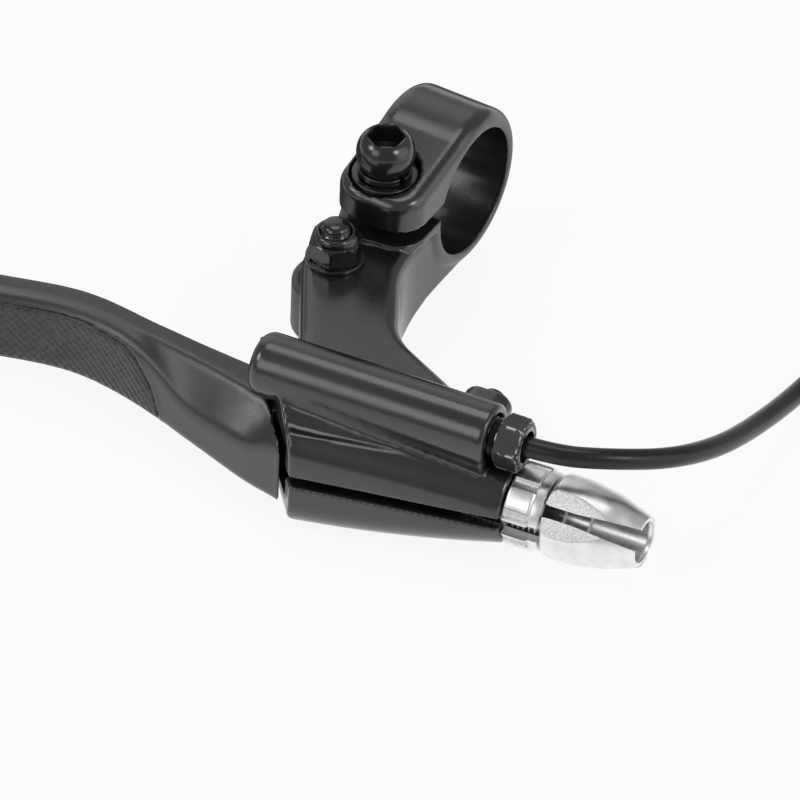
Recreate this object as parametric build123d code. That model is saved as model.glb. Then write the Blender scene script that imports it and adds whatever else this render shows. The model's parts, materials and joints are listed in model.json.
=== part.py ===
from build123d import *
import math
import os

os.makedirs("parts", exist_ok=True)

# Bicycle brake lever with a cut-off switch, in millimetres.
# The origin is the middle of the handlebar bore. X runs along the handlebar and points inboard,
# Y points from the lever to the handlebar, and Z points up along the pivot bolt.

# Handlebar clamp
bar_diameter = 22.2
clamp_wall = 2.9
clamp_left_x = -6.8
clamp_right_x = 8.8
clamp_edge = 2.2
clamp_gap = 3.0
ear_reach = 21.6
ear_drop = 2.8
ear_fall = 1.2
ear_corner = 5.2
strap_root_y = -3.0
strap_drop = 0.55
ear_seat_depth = 1.8
ear_seat_diameter = 11.8
pad_inset = 0.6
pad_stand = 0.5
near_full = 0.96
over = 1.0

# Clamp bolt and its washers
clamp_bolt_diameter = 6.0
clamp_bolt_setback = 3.8
clamp_bolt_end_z = -11.0
clamp_head_diameter = 9.8
clamp_head_height = 6.2
clamp_head_round = 1.8
clamp_socket_flats = 5.0
clamp_socket_depth = 3.4
plain_washer_diameter = 11.0
plain_washer_thickness = 1.2
spring_washer_diameter = 9.8
spring_washer_thickness = 1.5
spring_washer_split = 1.0
spring_washer_slant = 20.0
bolt_clearance = 0.15

# Arm and pivot ears, with the arm's corners given along and across the cable
mid_z = -8.0
arm_half_height = 9.0
arm_root_height = 14.2
arm_left_x = -7.3
arm_right_x = 8.2
arm_edge = 2.4
arm_outer_corner = (-45.6, 14.0)
arm_outer_foot = (-41.3, 2.0)
arm_inner_foot = (-11.3, 0.3)
arm_inner_end = (-10.5, 8.8)
arm_inner_corner = (-30.6, 20.1)
arm_neck_setback = 5.2
arm_outer_round = 12.0
arm_inner_round = 12.0
arm_ear_round = 14.0
arm_neck_round = 20.0
arm_end_round = 4.0
arm_ear_step = 1.0
ear_wall = 4.2
pivot_x = -1.4
pivot_setback = 6.6

# Cable line and body shell
cable_x = 49.3
cable_setback = 28.0
cable_angle = 5.3
body_end_width = 13.8
body_mid_x = -20.0
body_mid_front = -10.0
body_mid_rear = 11.4
body_mid_top = 8.6
body_mid_bottom = 10.2
body_out_x = -50.0
body_out_front = -14.9
body_out_rear = 12.5
body_out_top = 9.9
body_out_bottom = 11.0
body_corner = 6.6
body_end_edge = 1.0
mouth_x = -43.9
mouth_angle = 36.2
mouth_foot_round = 4.2
mouth_flare = 2.6
mouth_flare_z = 9.4
cavity_wall = 2.8
cavity_rear = 4.0
cable_slot = 2.1

# Switch housing on top of the body
housing_rise = 12.0
housing_diameter = 10.8
housing_left = -46.6
housing_right = -4.3
housing_left_edge = 2.2
housing_right_edge = 0.7
housing_bore = 8.0
housing_end_wall = 2.6
skirt_front = -5.2
skirt_rear = 5.1
skirt_foot = 4.0
skirt_out_brow = (-6.9, 9.6)
skirt_in_brow = (-4.2, 6.8)
pocket_width = 4.4
pocket_drop = 2.4
pocket_depth = 2.0
flute_diameter = 10.4
flute_front = -11.8
flute_rise = 3.5
flute_end_x = -16.0
flute_end_front = -5.6
flute_end_rise = -0.4
flute_end_diameter = 0.8

# Switch pieces
gland_flats = 8.0
gland_corner = 0.96
gland_edge = 0.51
gland_turn = 40.0
gland_hex_length = 4.6
gland_neck_length = 1.2
gland_neck_diameter = 7.2
gland_thread_length = 6.0
gland_mouth_diameter = 5.4
gland_mouth_depth = 1.6
gland_seat_depth = 4.0
wire_hole = 2.0
grommet_length = 3.0
lock_boss_x = -8.7
lock_boss_drop = 1.0
lock_boss_width = 5.4
lock_boss_length = 8.4
lock_boss_offset = -0.5
lock_boss_reach = 9.0
lock_screw_diameter = 4.0
lock_screw_stand = 1.2
lock_screw_edge = 0.33
lock_screw_depth = 2.4
lock_screw_flats = 2.0
magnet_diameter = 4.0
magnet_length = 3.0
magnet_x = -40.5
magnet_y = 9.0
magnet_sink = 0.4
slip = 0.1

# Pivot
pivot_diameter = 5.0
pivot_running_fit = 0.05
pivot_head_diameter = 8.5
pivot_head_height = 3.0
pivot_head_recess = 1.6
pivot_head_round = 0.75
pivot_socket_flats = 3.0
pivot_socket_depth = 1.8
pivot_washer_diameter = 9.8
pivot_washer_thickness = 0.8
nut_flats = 8.0
nut_corner = 0.8
nut_edge = 0.63
nut_height = 3.8
nut_collar_height = 1.3
nut_collar_diameter = 7.4
nut_collar_round = 0.43
nut_ring_sink = 0.32
nut_ring_diameter = 6.2
bolt_end_stand = 1.8
bolt_end_edge = 0.5
bush_diameter = 7.0
bush_flange_diameter = 11.0
bush_flange = 0.6
bush_gap = 0.4

# Lever, with the web's corners given along and across the cable
hub_diameter = 14.0
hub_side_gap = 0.15
hub_room_gap = 0.7
mouth_gap = 0.7
nipple_x = -37.2
nipple_diameter = 7.2
web_outer_corners = [(-48.9, 22.8), (-45.7, 13.5), (-48.3, 6.7), (-53.2, 3.1), (-51.7, -0.4)]
web_inner_corners = [(-36.6, -3.2), (-32.4, -3.8), (-31.6, 5.1), (-38.4, 18.3)]
web_room_gap = 1.4
inlay_thickness = 1.6
inlay_stand = 0.25
inlay_heading = 10.0
inlay_corners = [(-100.0, -5.0), (-13.8, -6.3), (-16.0, -0.5), (-20.2, 4.4), (-30.0, 5.4), (-100.0, 5.2)]
inlay_rounds = [4.4, 0.6, 3.0, 5.0, 12.0, 4.4]
blade_corner = 2.3
blade_rear_corner = 1.2
blade_brow_round = 2.4
corner_share = 0.36
run_share = 0.45

# Return spring
spring_wire = 0.9
spring_diameter = 9.6
spring_pitch = 1.05
spring_turns = 3
spring_foot = 2.2
spring_leg = 1.8
spring_turn = 20.0
spring_foot_turn = 6.0
spring_gap = 0.4
lever_travel = 22.0

# Barrel adjuster and lock ring
adjuster_thread = 9.8
adjuster_fit = 0.08
adjuster_insert = 8.0
adjuster_end_gap = 1.0
adjuster_bore = 2.6
throat_bore = 4.4
throat_length = 4.3
ferrule_bore = 6.3
ferrule_depth = 10.3
barrel_length = 16.0
barrel_diameter = 14.2
barrel_shoulder = 1.0
barrel_straight = 4.0
barrel_fullness = 0.68
barrel_tip_diameter = 8.6
barrel_flats = 12.4
adjuster_slot = 2.3
slot_turn = 42.0
ring_length = 6.2
ring_diameter = 14.2
ring_collar_length = 1.6
ring_collar_diameter = 13.2
ring_lobes = 8
ring_groove = 1.3
ring_edge = 0.43
ring_slot_turn = -14.0
ring_gap = 0.3

# Switch lead and its plug
lead_diameter = 3.5
plug_diameter = 8.0
plug_length = 20.0
plug_relief_length = 5.0
plug_relief_diameter = 5.2
plug_socket_depth = 8.0
plug_wall = 1.0
pin_diameter = 1.0
pin_round = 0.33
pin_length = 6.0
pin_circle = 3.0
pin_count = 3

bar_radius = bar_diameter / 2
clamp_radius = bar_radius + clamp_wall
pivot_y = -(ear_reach + pivot_setback)
cable_y = pivot_y - cable_setback
clamp_bolt_y = -(bar_radius + clamp_bolt_setback)
strap_root = (strap_root_y, clamp_radius - strap_drop)
ear_top_z = clamp_radius - ear_drop
ear_front_z = ear_top_z - ear_fall
ear_seat_z = ear_top_z - ear_seat_depth
arm_top_z = mid_z + arm_half_height
arm_bottom_z = mid_z - arm_half_height
clamp_gap_z = arm_top_z + pad_stand + clamp_gap / 2
cavity_half = arm_half_height - ear_wall
hub_half = cavity_half - hub_side_gap
hub_room = hub_diameter / 2 + hub_room_gap
far = 200.0

# The body shell is drawn along the cable: x runs along the cable with 0 at the inboard end face.
body_frame = Location((cable_x, cable_y, mid_z), (0, 0, cable_angle))
switch_axis = body_frame * Pos(0, 0, housing_rise)
lock_axis = body_frame * Pos(lock_boss_x, 0, housing_rise - lock_boss_drop) * Rot(-90, 0, 0)
pivot_axis = Pos(pivot_x, pivot_y, 0)
clamp_bolt_axis = Pos(0, clamp_bolt_y, 0)


def across(x):
    """The plane square to the cable at x, with its own x to the rear and its own y up."""
    return Plane(origin=(x, 0, 0), x_dir=(0, 1, 0), z_dir=(1, 0, 0))


def bar_x(diameter, x0, x1):
    """A round bar along the cable direction from x0 to x1."""
    return across(x0) * extrude(Circle(diameter / 2), x1 - x0)


def post(diameter, z0, z1):
    """An upright round bar from z0 to z1."""
    return Pos(0, 0, z0) * extrude(Circle(diameter / 2), z1 - z0)


def hexagon(flats):
    return RegularPolygon(flats / 2, 6, major_radius=False)


def hex_post(flats, z0, z1):
    """An upright hexagonal bar from z0 to z1."""
    return Pos(0, 0, z0) * extrude(hexagon(flats), z1 - z0)


def in_body(point):
    """The place in plan of a point given along and across the cable."""
    place = (body_frame * Pos(point[0], point[1], 0)).position
    return (place.X, place.Y)


def top_rim(solid):
    return solid.edges().group_by(Axis.Z)[-1]


def bottom_rim(solid):
    return solid.edges().group_by(Axis.Z)[0]


def body_section(x, front, rear, top, bottom, corner):
    """A rounded section of the body shell."""
    middle = Pos((front + rear) / 2, (top - bottom) / 2)
    return across(x) * middle * RectangleRounded(rear - front, top + bottom, corner)


def mouth_block(offset):
    """Everything outboard of the mouth of the body, moved outboard by offset."""
    block = Pos(-far / 2 - offset, 0, 0) * Box(far, far, far)
    return body_frame * Pos(mouth_x, 0, 0) * Rot(0, 0, mouth_angle) * block


def mouth_cut():
    """What the mouth of the body leaves open, with a rounded foot and a flare under the housing."""
    foot_z = mouth_foot_round - body_out_bottom
    flare_z = mouth_flare_z + mouth_flare
    foot = RadiusArc((mouth_foot_round, -body_out_bottom), (0, foot_z), mouth_foot_round)
    flare = RadiusArc((0, mouth_flare_z), (-mouth_flare, flare_z), -mouth_flare)
    rest = Polyline(
        (-mouth_flare, flare_z),
        (-far, flare_z),
        (-far, -far),
        (mouth_foot_round, -far),
        (mouth_foot_round, -body_out_bottom),
    )
    wall = Line((0, foot_z), (0, mouth_flare_z))
    side = make_face([*foot.edges(), *wall.edges(), *flare.edges(), *rest.edges()])
    cut = Pos(0, far / 2, 0) * extrude(Plane.XZ * side, far)
    return body_frame * Pos(mouth_x, 0, 0) * Rot(0, 0, mouth_angle) * cut


def skirt_section(x, brow):
    """A section of the skirt between the switch housing and the body, with its front edge at the brow."""
    outline = Polyline(
        (skirt_front, housing_rise),
        brow,
        (brow[0], skirt_foot),
        (skirt_rear, skirt_foot),
        (skirt_rear, housing_rise),
        close=True,
    )
    return across(x) * make_face(outline)


def make_shell():
    """The tapering body over the cable, with the skirt under the switch housing and the flute beside it."""
    end_half = body_end_width / 2
    sections = [
        (body_out_x, body_out_front, body_out_rear, body_out_top, body_out_bottom, body_corner),
        (body_mid_x, body_mid_front, body_mid_rear, body_mid_top, body_mid_bottom, body_corner),
        (0, -end_half, end_half, end_half, end_half, near_full * end_half),
    ]
    shell = loft([body_section(*section) for section in sections])
    shell = fillet(shell.faces().sort_by(Axis.X)[-1].edges(), body_end_edge)
    skirt = loft([skirt_section(housing_left, skirt_out_brow), skirt_section(housing_right, skirt_in_brow)])
    flute = loft(
        [
            across(body_out_x) * Pos(flute_front, body_out_top + flute_rise) * Circle(flute_diameter / 2),
            across(flute_end_x)
            * Pos(flute_end_front, body_mid_top + flute_end_rise)
            * Circle(flute_end_diameter / 2),
        ]
    )
    return body_frame * (shell + skirt - flute) - mouth_cut()


def make_housing():
    """The round switch housing cast on top of the body, with the boss of its lock screw."""
    housing = bar_x(housing_diameter, housing_left, housing_right)
    housing = fillet(housing.edges().filter_by(GeomType.CIRCLE).sort_by(Axis.X)[0], housing_left_edge)
    housing = fillet(housing.edges().filter_by(GeomType.CIRCLE).sort_by(Axis.X)[-1], housing_right_edge)
    boss_outline = SlotOverall(lock_boss_length, lock_boss_width)
    boss = Pos(lock_boss_offset, 0, 0) * extrude(boss_outline, lock_boss_reach)
    boss = fillet(top_rim(boss), housing_right_edge)
    return switch_axis * housing + lock_axis * boss


def make_arm():
    """The arm from the clamp to the body: its outline from above, cut to its depth from the side."""
    corners = [
        (arm_left_x, 0),
        (arm_left_x, pivot_y - arm_ear_step),
        in_body(arm_outer_corner),
        in_body(arm_outer_foot),
        in_body(arm_inner_foot),
        in_body(arm_inner_end),
        in_body(arm_inner_corner),
        (arm_right_x, pivot_y + arm_neck_setback),
        (arm_right_x, 0),
    ]
    outline = make_face(Polyline(*corners, close=True))
    rounds = {
        1: arm_ear_round,
        2: arm_outer_round,
        6: arm_inner_round,
        7: arm_neck_round,
        5: arm_end_round,
    }
    for index, radius in rounds.items():
        corner = outline.vertices().sort_by_distance((*corners[index], 0))[0]
        outline = fillet(corner, radius)
    slab = Pos(0, 0, arm_bottom_z) * extrude(outline, 2 * arm_half_height)
    slab = fillet(slab.edges().filter_by(Plane.XY), arm_edge)

    # The underside rises from the pivot ears to the bottom of the clamp
    root_z = arm_top_z - arm_root_height
    ears_y = pivot_y - arm_ear_step
    rise = Spline((ears_y, arm_bottom_z), (-bar_radius, root_z), tangents=((1, 0), (1, 0)))
    rest = Polyline((-bar_radius, root_z), (far, root_z), (far, -far), (ears_y, -far), (ears_y, arm_bottom_z))
    under = make_face([*rise.edges(), *rest.edges()])
    return slab - Pos(-far / 2, 0, 0) * extrude(Plane.YZ * under, far)


def make_clamp():
    """The ring round the handlebar, the strap that the bolt pulls down and the pad under it."""
    width = clamp_right_x - clamp_left_x
    middle = (clamp_left_x + clamp_right_x) / 2
    ring = Pos(middle, 0, 0) * Rot(0, 90, 0) * Cylinder(clamp_radius, width)
    ring = fillet(ring.edges().filter_by(GeomType.CIRCLE), clamp_edge)
    side = make_face(Polyline((0, 0), strap_root, (-ear_reach, ear_front_z), (-ear_reach, 0), close=True))
    ear = Pos(clamp_left_x, 0, 0) * extrude(Plane.YZ * side, width)
    ear = fillet(ear.edges().filter_by(Axis.Z).group_by(Axis.Y)[0], ear_corner)
    ear = fillet(ear.faces().sort_by(Axis.Z)[-1].edges().sort_by(Axis.Y)[:-1], clamp_edge)
    pad = clamp_bolt_axis * post(width - 2 * pad_inset, mid_z, clamp_gap_z - clamp_gap / 2)
    washer_room = pivot_axis * post(pivot_washer_diameter + 2 * bolt_clearance, arm_top_z, far)
    return ring + ear + pad - washer_room


def make_bracket():
    """The casting: clamp, arm, pivot ears, body shell and switch housing in one piece."""
    casting = make_clamp() + make_arm() + make_housing() + make_shell()

    # Handlebar bore, split and bolt hole
    casting -= Rot(0, 90, 0) * Cylinder(bar_radius, far)
    split = Box(far, ear_reach + over, clamp_gap, align=(Align.CENTER, Align.MAX, Align.CENTER))
    casting -= Pos(0, 0, clamp_gap_z) * split
    hole = clamp_bolt_diameter + 2 * bolt_clearance
    casting -= clamp_bolt_axis * post(hole, clamp_bolt_end_z - over, ear_top_z + over)
    casting -= clamp_bolt_axis * post(ear_seat_diameter, ear_seat_z, far)

    # Room for the lever between the ears, open at the outboard side
    web_end = Vector(*web_inner_corners[-1]) + Vector(web_room_gap, web_room_gap)
    room = pivot_axis * Circle(hub_room)
    room += make_face(
        Polyline(
            (-far, pivot_y),
            (pivot_x + hub_room, pivot_y),
            in_body((web_end.X, web_end.Y)),
            in_body((web_inner_corners[2][0] + web_room_gap, arm_inner_end[1] + cavity_rear)),
            in_body((body_mid_x + cavity_rear, body_mid_rear - cavity_rear)),
            in_body((body_mid_x + cavity_rear, 0)),
            (-far, in_body((body_mid_x, 0))[1]),
            close=True,
        )
    )
    casting -= Pos(0, 0, mid_z - cavity_half) * extrude(room, 2 * cavity_half)
    end_x = -adjuster_insert - adjuster_end_gap
    end_half = body_end_width / 2 - cavity_wall
    inner = make_face(
        Polyline(
            (body_out_x, body_out_front + cavity_wall),
            (body_mid_x, body_mid_front + cavity_wall),
            (end_x, -end_half),
            (end_x, end_half),
            (body_mid_x, cavity_rear),
            (body_out_x, cavity_rear),
            close=True,
        )
    )
    casting -= body_frame * Pos(0, 0, -cavity_half) * extrude(inner, 2 * cavity_half)
    slot = Box(far, far, cable_slot, align=(Align.MAX, Align.MAX, Align.CENTER))
    casting -= body_frame * Pos(over, 0, 0) * slot

    # Threaded hole of the adjuster, switch bore and lock screw hole
    casting -= body_frame * bar_x(adjuster_thread + 2 * adjuster_fit, end_x - over, over)
    casting -= switch_axis * bar_x(housing_bore, bore_left, housing_right + over)
    pocket = Rectangle(pocket_width, housing_bore / 2 + pocket_drop, align=(Align.CENTER, Align.MAX))
    pocket_floor = across(housing_right - pocket_depth) * extrude(pocket, pocket_depth + over)
    casting -= switch_axis * fillet(
        pocket_floor.edges().filter_by(Axis.X).group_by(Axis.Z)[0], near_full * pocket_width / 2
    )
    casting -= lock_axis * post(lock_screw_diameter + 2 * slip, 0, lock_boss_reach + over)

    # Pivot holes, with a recess for the bolt head, and the hole of the spring's fixed leg
    casting -= pivot_axis * post(pivot_diameter + 2 * bolt_clearance, arm_bottom_z - over, arm_top_z + over)
    recess_top = arm_bottom_z + pivot_head_recess
    casting -= pivot_axis * post(pivot_head_diameter + 2 * bolt_clearance, arm_bottom_z - over, recess_top)
    foot_hole = post(spring_wire + 2 * slip, -spring_foot - slip, spring_wire)
    casting -= spring_axis * spring_foot_place * foot_hole
    return casting


# Stations of the blade from its root to its tip: the middle of the section along the handlebar and in front
# of the cable line's origin, the direction of the blade there in degrees from +X, its thickness, its height,
# how far the middle of its height is above the pivot's middle, how far its top falls towards the front and
# the radius of the corner there.
blade_stations = [
    (15.0, 7.6, -14.0, 12.2, 14.6, -1.5, 2.8, 2.4),
    (8.5, 6.2, -14.0, 11.8, 14.6, -1.45, 4.6, 3.0),
    (2.0, 4.8, -13.0, 11.4, 14.6, -1.4, 6.2, 3.6),
    (-4.0, 4.0, -9.0, 10.1, 14.4, -1.1, 6.8, 3.6),
    (-9.5, 3.4, -3.5, 8.8, 14.2, -0.8, 6.0, 3.2),
    (-14.5, 2.8, 4.0, 7.8, 14.1, -0.5, 3.6, 2.8),
    (-19.5, 2.2, 9.0, 7.0, 14.0, -0.3, 1.6, 2.5),
    (-25.0, 1.6, 9.0, 6.5, 14.0, -0.1, 1.0, 2.4),
    (-31.5, 1.4, 8.0, 6.2, 14.0, 0.0, 0.8, 2.3),
    (-46.0, 4.8, 15.0, 6.0, 14.0, 0.0, 0.7, 2.3),
    (-62.0, 8.6, 11.0, 6.0, 14.0, 0.0, 0.7, 2.3),
    (-82.0, 12.0, 9.0, 5.8, 13.6, 0.0, 0.7, 2.3),
    (-102.0, 15.4, 11.0, 5.6, 12.4, 0.0, 0.7, 2.3),
    (-116.0, 18.8, 16.0, 5.4, 10.6, 0.0, 0.6, 2.3),
    (-119.6, 19.9, 18.0, 4.6, 8.2, 0.0, 0.5, 2.0),
    (-121.0, 20.4, 18.0, 2.6, 5.0, 0.0, 0.3, 1.1),
]


def rounded_face(points, radii):
    """A face with straight sides and a radius of its own at each corner."""
    corners = [Vector(*point) for point in points]
    edges = []
    for before, corner, after, radius in zip(corners[-1:] + corners, corners, corners[1:] + corners[:1], radii):
        back, ahead = (before - corner).normalized(), (after - corner).normalized()
        half = math.radians(back.get_angle(ahead)) / 2
        reach = radius / math.tan(half)
        middle = (back + ahead).normalized() * (radius / math.sin(half) - radius)
        edges.append(ThreePointArc(corner + back * reach, corner + middle, corner + ahead * reach))
    sides = [Line(arc @ 1, following @ 0) for arc, following in zip(edges, edges[1:] + edges[:1])]
    return make_face([edge for pair in zip(edges, sides) for edge in pair])


def blade_section(thickness, height, fall, front_corner):
    """A bar's section whose top is level at the rear and falls towards the front."""
    rear, front, top, bottom = -thickness / 2, thickness / 2, height / 2, -height / 2
    points = [(rear, bottom), (front, bottom), (front, top - fall), (0, top), (rear, top)]
    radii = [blade_corner, blade_corner, front_corner, blade_brow_round, blade_rear_corner]
    return rounded_face(points, [min(radius, corner_share * thickness) for radius in radii])


def make_blade():
    """The blade, lofted through its stations."""
    sections = []
    for x, ahead, heading, thickness, height, rise, fall, corner in blade_stations:
        along = Vector(1, 0, 0).rotate(Axis.Z, heading)
        front = Vector(0, -1, 0).rotate(Axis.Z, heading)
        plane = Plane(origin=(x, cable_y - ahead, mid_z + rise), x_dir=front, z_dir=-along)
        sections.append(plane * blade_section(thickness, height, fall, corner))
    return loft(sections)


def make_inlay(blade):
    """The grip pad in the front of the blade, with a slanting rounded inboard end."""
    floor = []
    for x, ahead, heading, thickness, *_ in blade_stations:
        out = Vector(0, -1, 0).rotate(Axis.Z, heading)
        floor.append(Vector(x, cable_y - ahead, 0) + out * (thickness / 2 + inlay_stand - inlay_thickness))
    back = Spline(*floor)
    rest = Polyline(back @ 1, (floor[-1].X, -far), (floor[0].X, -far), back @ 0)
    layer = Pos(0, 0, -far / 2) * extrude(make_face([back, *rest.edges()]), far)
    front = Vector(0, -1, 0).rotate(Axis.Z, inlay_heading)
    outline = rounded_face(inlay_corners, inlay_rounds)
    window = Plane(origin=(0, in_body((0, 0))[1] + body_mid_rear, mid_z), x_dir=(1, 0, 0), z_dir=(0, -1, 0))
    return Pos(front * inlay_stand) * blade & extrude(window * outline, far) & layer


def make_lever(blade):
    """The cast lever: hub, web with the nipple seat, root and blade."""
    hub_radius = hub_diameter / 2
    root = blade & mouth_block(mouth_gap)
    web = pivot_axis * Circle(hub_radius)
    web += make_face(
        Polyline(
            (pivot_x - hub_radius, pivot_y),
            *[in_body(point) for point in web_outer_corners],
            *[in_body(point) for point in web_inner_corners],
            (pivot_x + hub_radius, pivot_y),
            close=True,
        )
    )
    lever = root + Pos(0, 0, mid_z - hub_half) * extrude(web, 2 * hub_half)

    # Bush hole and flange seat, then the spring's pocket and the window for its leg
    lever -= pivot_axis * post(bush_diameter + 2 * slip, arm_bottom_z, arm_top_z)
    lever -= pivot_axis * post(bush_flange_diameter + 2 * slip, mid_z + hub_half - bush_flange, arm_top_z)
    pocket = spring_diameter + spring_wire + 2 * spring_gap
    lever -= pivot_axis * post(pocket, arm_bottom_z, spring_top_z + spring_gap)
    window = make_face(
        Polyline(
            (0, 0),
            Vector(hub_diameter, 0).rotate(Axis.Z, spring_turn - lever_travel / 2),
            Vector(hub_diameter, 0).rotate(Axis.Z, spring_turn + 1.5 * lever_travel),
            close=True,
        )
    )
    lever -= pivot_axis * Pos(0, 0, arm_bottom_z) * extrude(window, spring_top_z + spring_gap - arm_bottom_z)

    # Nipple seat with its cable slot, and the magnet pocket
    lever -= body_frame * Pos(nipple_x, 0, 0) * post(nipple_diameter, -far, nipple_diameter / 2)
    slot = Box(far, far, cable_slot, align=(Align.MIN, Align.MAX, Align.CENTER))
    lever -= body_frame * Pos(nipple_x, 0, 0) * slot
    lever -= magnet_axis * post(magnet_diameter + 2 * slip, 0, far)
    return lever


bore_left = housing_left + housing_end_wall
gland_left = housing_right - gland_thread_length
grommet_left = gland_left - slip - grommet_length

# The spring stands on the lower ear and turns upwards round the bushes
spring_bottom_z = mid_z - cavity_half + slip
spring_top_z = spring_bottom_z + spring_turns * spring_pitch + spring_wire
spring_axis = pivot_axis * Pos(0, 0, spring_bottom_z + spring_wire / 2) * Rot(0, 0, spring_turn)
spring_foot_place = Rot(0, 0, spring_foot_turn) * Pos(spring_diameter / 2, 0, 0)
bush_split_z = (mid_z + hub_half + spring_top_z + spring_gap) / 2
magnet_axis = body_frame * Pos(magnet_x, magnet_y, hub_half - magnet_sink - magnet_length)


def make_spring():
    """The torsion spring round the bushes, one leg down in the ear and the other out in the hub's window."""
    wire = Circle(spring_wire / 2)
    coil = Helix(spring_pitch, spring_turns * spring_pitch, spring_diameter / 2)
    spring = sweep(Plane(origin=coil @ 0, z_dir=coil % 0) * wire, path=coil, is_frenet=True)
    spring += spring_foot_place * post(spring_wire, -spring_foot, 0)
    spring += Pos(0, 0, spring_turns * spring_pitch) * bar_x(
        spring_wire, spring_diameter / 2, spring_diameter / 2 + spring_leg
    )
    return spring_axis * spring


def make_bushes():
    """The flanged bush in the top of the hub and the long sleeve below it, through the spring."""
    bore = post(pivot_diameter + 2 * pivot_running_fit, arm_bottom_z, arm_top_z)
    top_z = mid_z + hub_half
    upper = post(bush_diameter, bush_split_z + bush_gap / 2, top_z)
    upper += post(bush_flange_diameter, top_z - bush_flange, top_z)
    lower = post(bush_diameter, mid_z - hub_half, bush_split_z - bush_gap / 2)
    return pivot_axis * (upper - bore), pivot_axis * (lower - bore)


def make_pivot_bolt():
    """The pivot bolt, put in from below, with its threaded end standing out of the nut."""
    seat_z = arm_bottom_z + pivot_head_recess
    head = post(pivot_head_diameter, seat_z - pivot_head_height, seat_z)
    head = fillet(bottom_rim(head), pivot_head_round)
    head -= hex_post(pivot_socket_flats, -far, seat_z - pivot_head_height + pivot_socket_depth)
    shank = post(pivot_diameter, seat_z, nut_top_z + bolt_end_stand)
    shank = chamfer(top_rim(shank), bolt_end_edge)
    return pivot_axis * (head + shank)


def make_pivot_nut():
    """The locking nut with its round collar, and the plastic ring in the collar that grips the thread."""
    hole = post(pivot_diameter + 2 * slip, -far, far)
    nut = hex_post(nut_flats, nut_seat_z, nut_seat_z + nut_height)
    nut = nut & chamfered_post(nut_flats + nut_corner, nut_seat_z, nut_seat_z + nut_height, nut_edge)
    collar = post(nut_collar_diameter, nut_seat_z + nut_height, nut_top_z)
    collar = fillet(top_rim(collar), nut_collar_round)
    ring_low = nut_seat_z + nut_height
    ring = post(nut_ring_diameter, ring_low, nut_top_z - nut_ring_sink)
    nut = nut + collar - hole - post(nut_ring_diameter + 2 * slip, ring_low, far)
    return pivot_axis * nut, pivot_axis * (ring - hole)


def chamfered_post(diameter, z0, z1, edge):
    """An upright round bar with both rims chamfered."""
    bar = post(diameter, z0, z1)
    return chamfer(bar.edges().filter_by(GeomType.CIRCLE), edge)


def make_washer(diameter, hole, thickness):
    return post(diameter, 0, thickness) - post(hole, -over, thickness + over)


def make_spring_washer():
    """The split washer under the bolt head."""
    washer = make_washer(
        spring_washer_diameter, clamp_bolt_diameter + 2 * bolt_clearance, spring_washer_thickness
    )
    cut = Box(far, spring_washer_split, far, align=(Align.MIN, Align.CENTER, Align.CENTER))
    return washer - Rot(spring_washer_slant, 0, 0) * cut


def make_clamp_bolt():
    """The socket-head bolt that closes the clamp."""
    head_top = head_seat_z + clamp_head_height
    head = post(clamp_head_diameter, head_seat_z, head_top)
    head = fillet(top_rim(head), clamp_head_round)
    head -= hex_post(clamp_socket_flats, head_top - clamp_socket_depth, far)
    shank = post(clamp_bolt_diameter, clamp_bolt_end_z, head_seat_z)
    return clamp_bolt_axis * (head + chamfer(bottom_rim(shank), bolt_end_edge))


def make_gland():
    """The hexagonal gland screwed into the switch housing, with the lead's seat in its mouth."""
    hex_left = housing_right + gland_neck_length
    gland = bar_x(housing_bore - 2 * slip, gland_left, housing_right)
    gland += bar_x(gland_neck_diameter, housing_right, hex_left)
    nut = across(hex_left) * Rot(0, 0, 90 - gland_turn) * extrude(hexagon(gland_flats), gland_hex_length)
    rounder = bar_x(gland_flats + gland_corner, hex_left, gland_right)
    gland += nut & chamfer(rounder.edges().filter_by(GeomType.CIRCLE), gland_edge)
    gland -= bar_x(gland_mouth_diameter, gland_right - gland_mouth_depth, gland_right + over)
    gland -= bar_x(lead_diameter + 2 * slip, gland_right - gland_seat_depth, gland_right)
    gland -= bar_x(wire_hole, gland_left - over, gland_right)
    return switch_axis * gland


def make_lock_screw():
    """The set screw in the boss, which holds the gland."""
    screw_end = lock_boss_reach + lock_screw_stand
    screw = post(lock_screw_diameter, housing_bore / 2, screw_end)
    screw = chamfer(screw.edges().filter_by(GeomType.CIRCLE), lock_screw_edge)
    screw -= hex_post(lock_screw_flats, screw_end - lock_screw_depth, far)
    return lock_axis * screw


def radial_slot(width, turn):
    """A slot from the cable axis outwards, turned up from the front."""
    slot = Box(2 * far, far, width, align=(Align.CENTER, Align.MAX, Align.CENTER))
    return Rot(-turn, 0, 0) * slot


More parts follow.
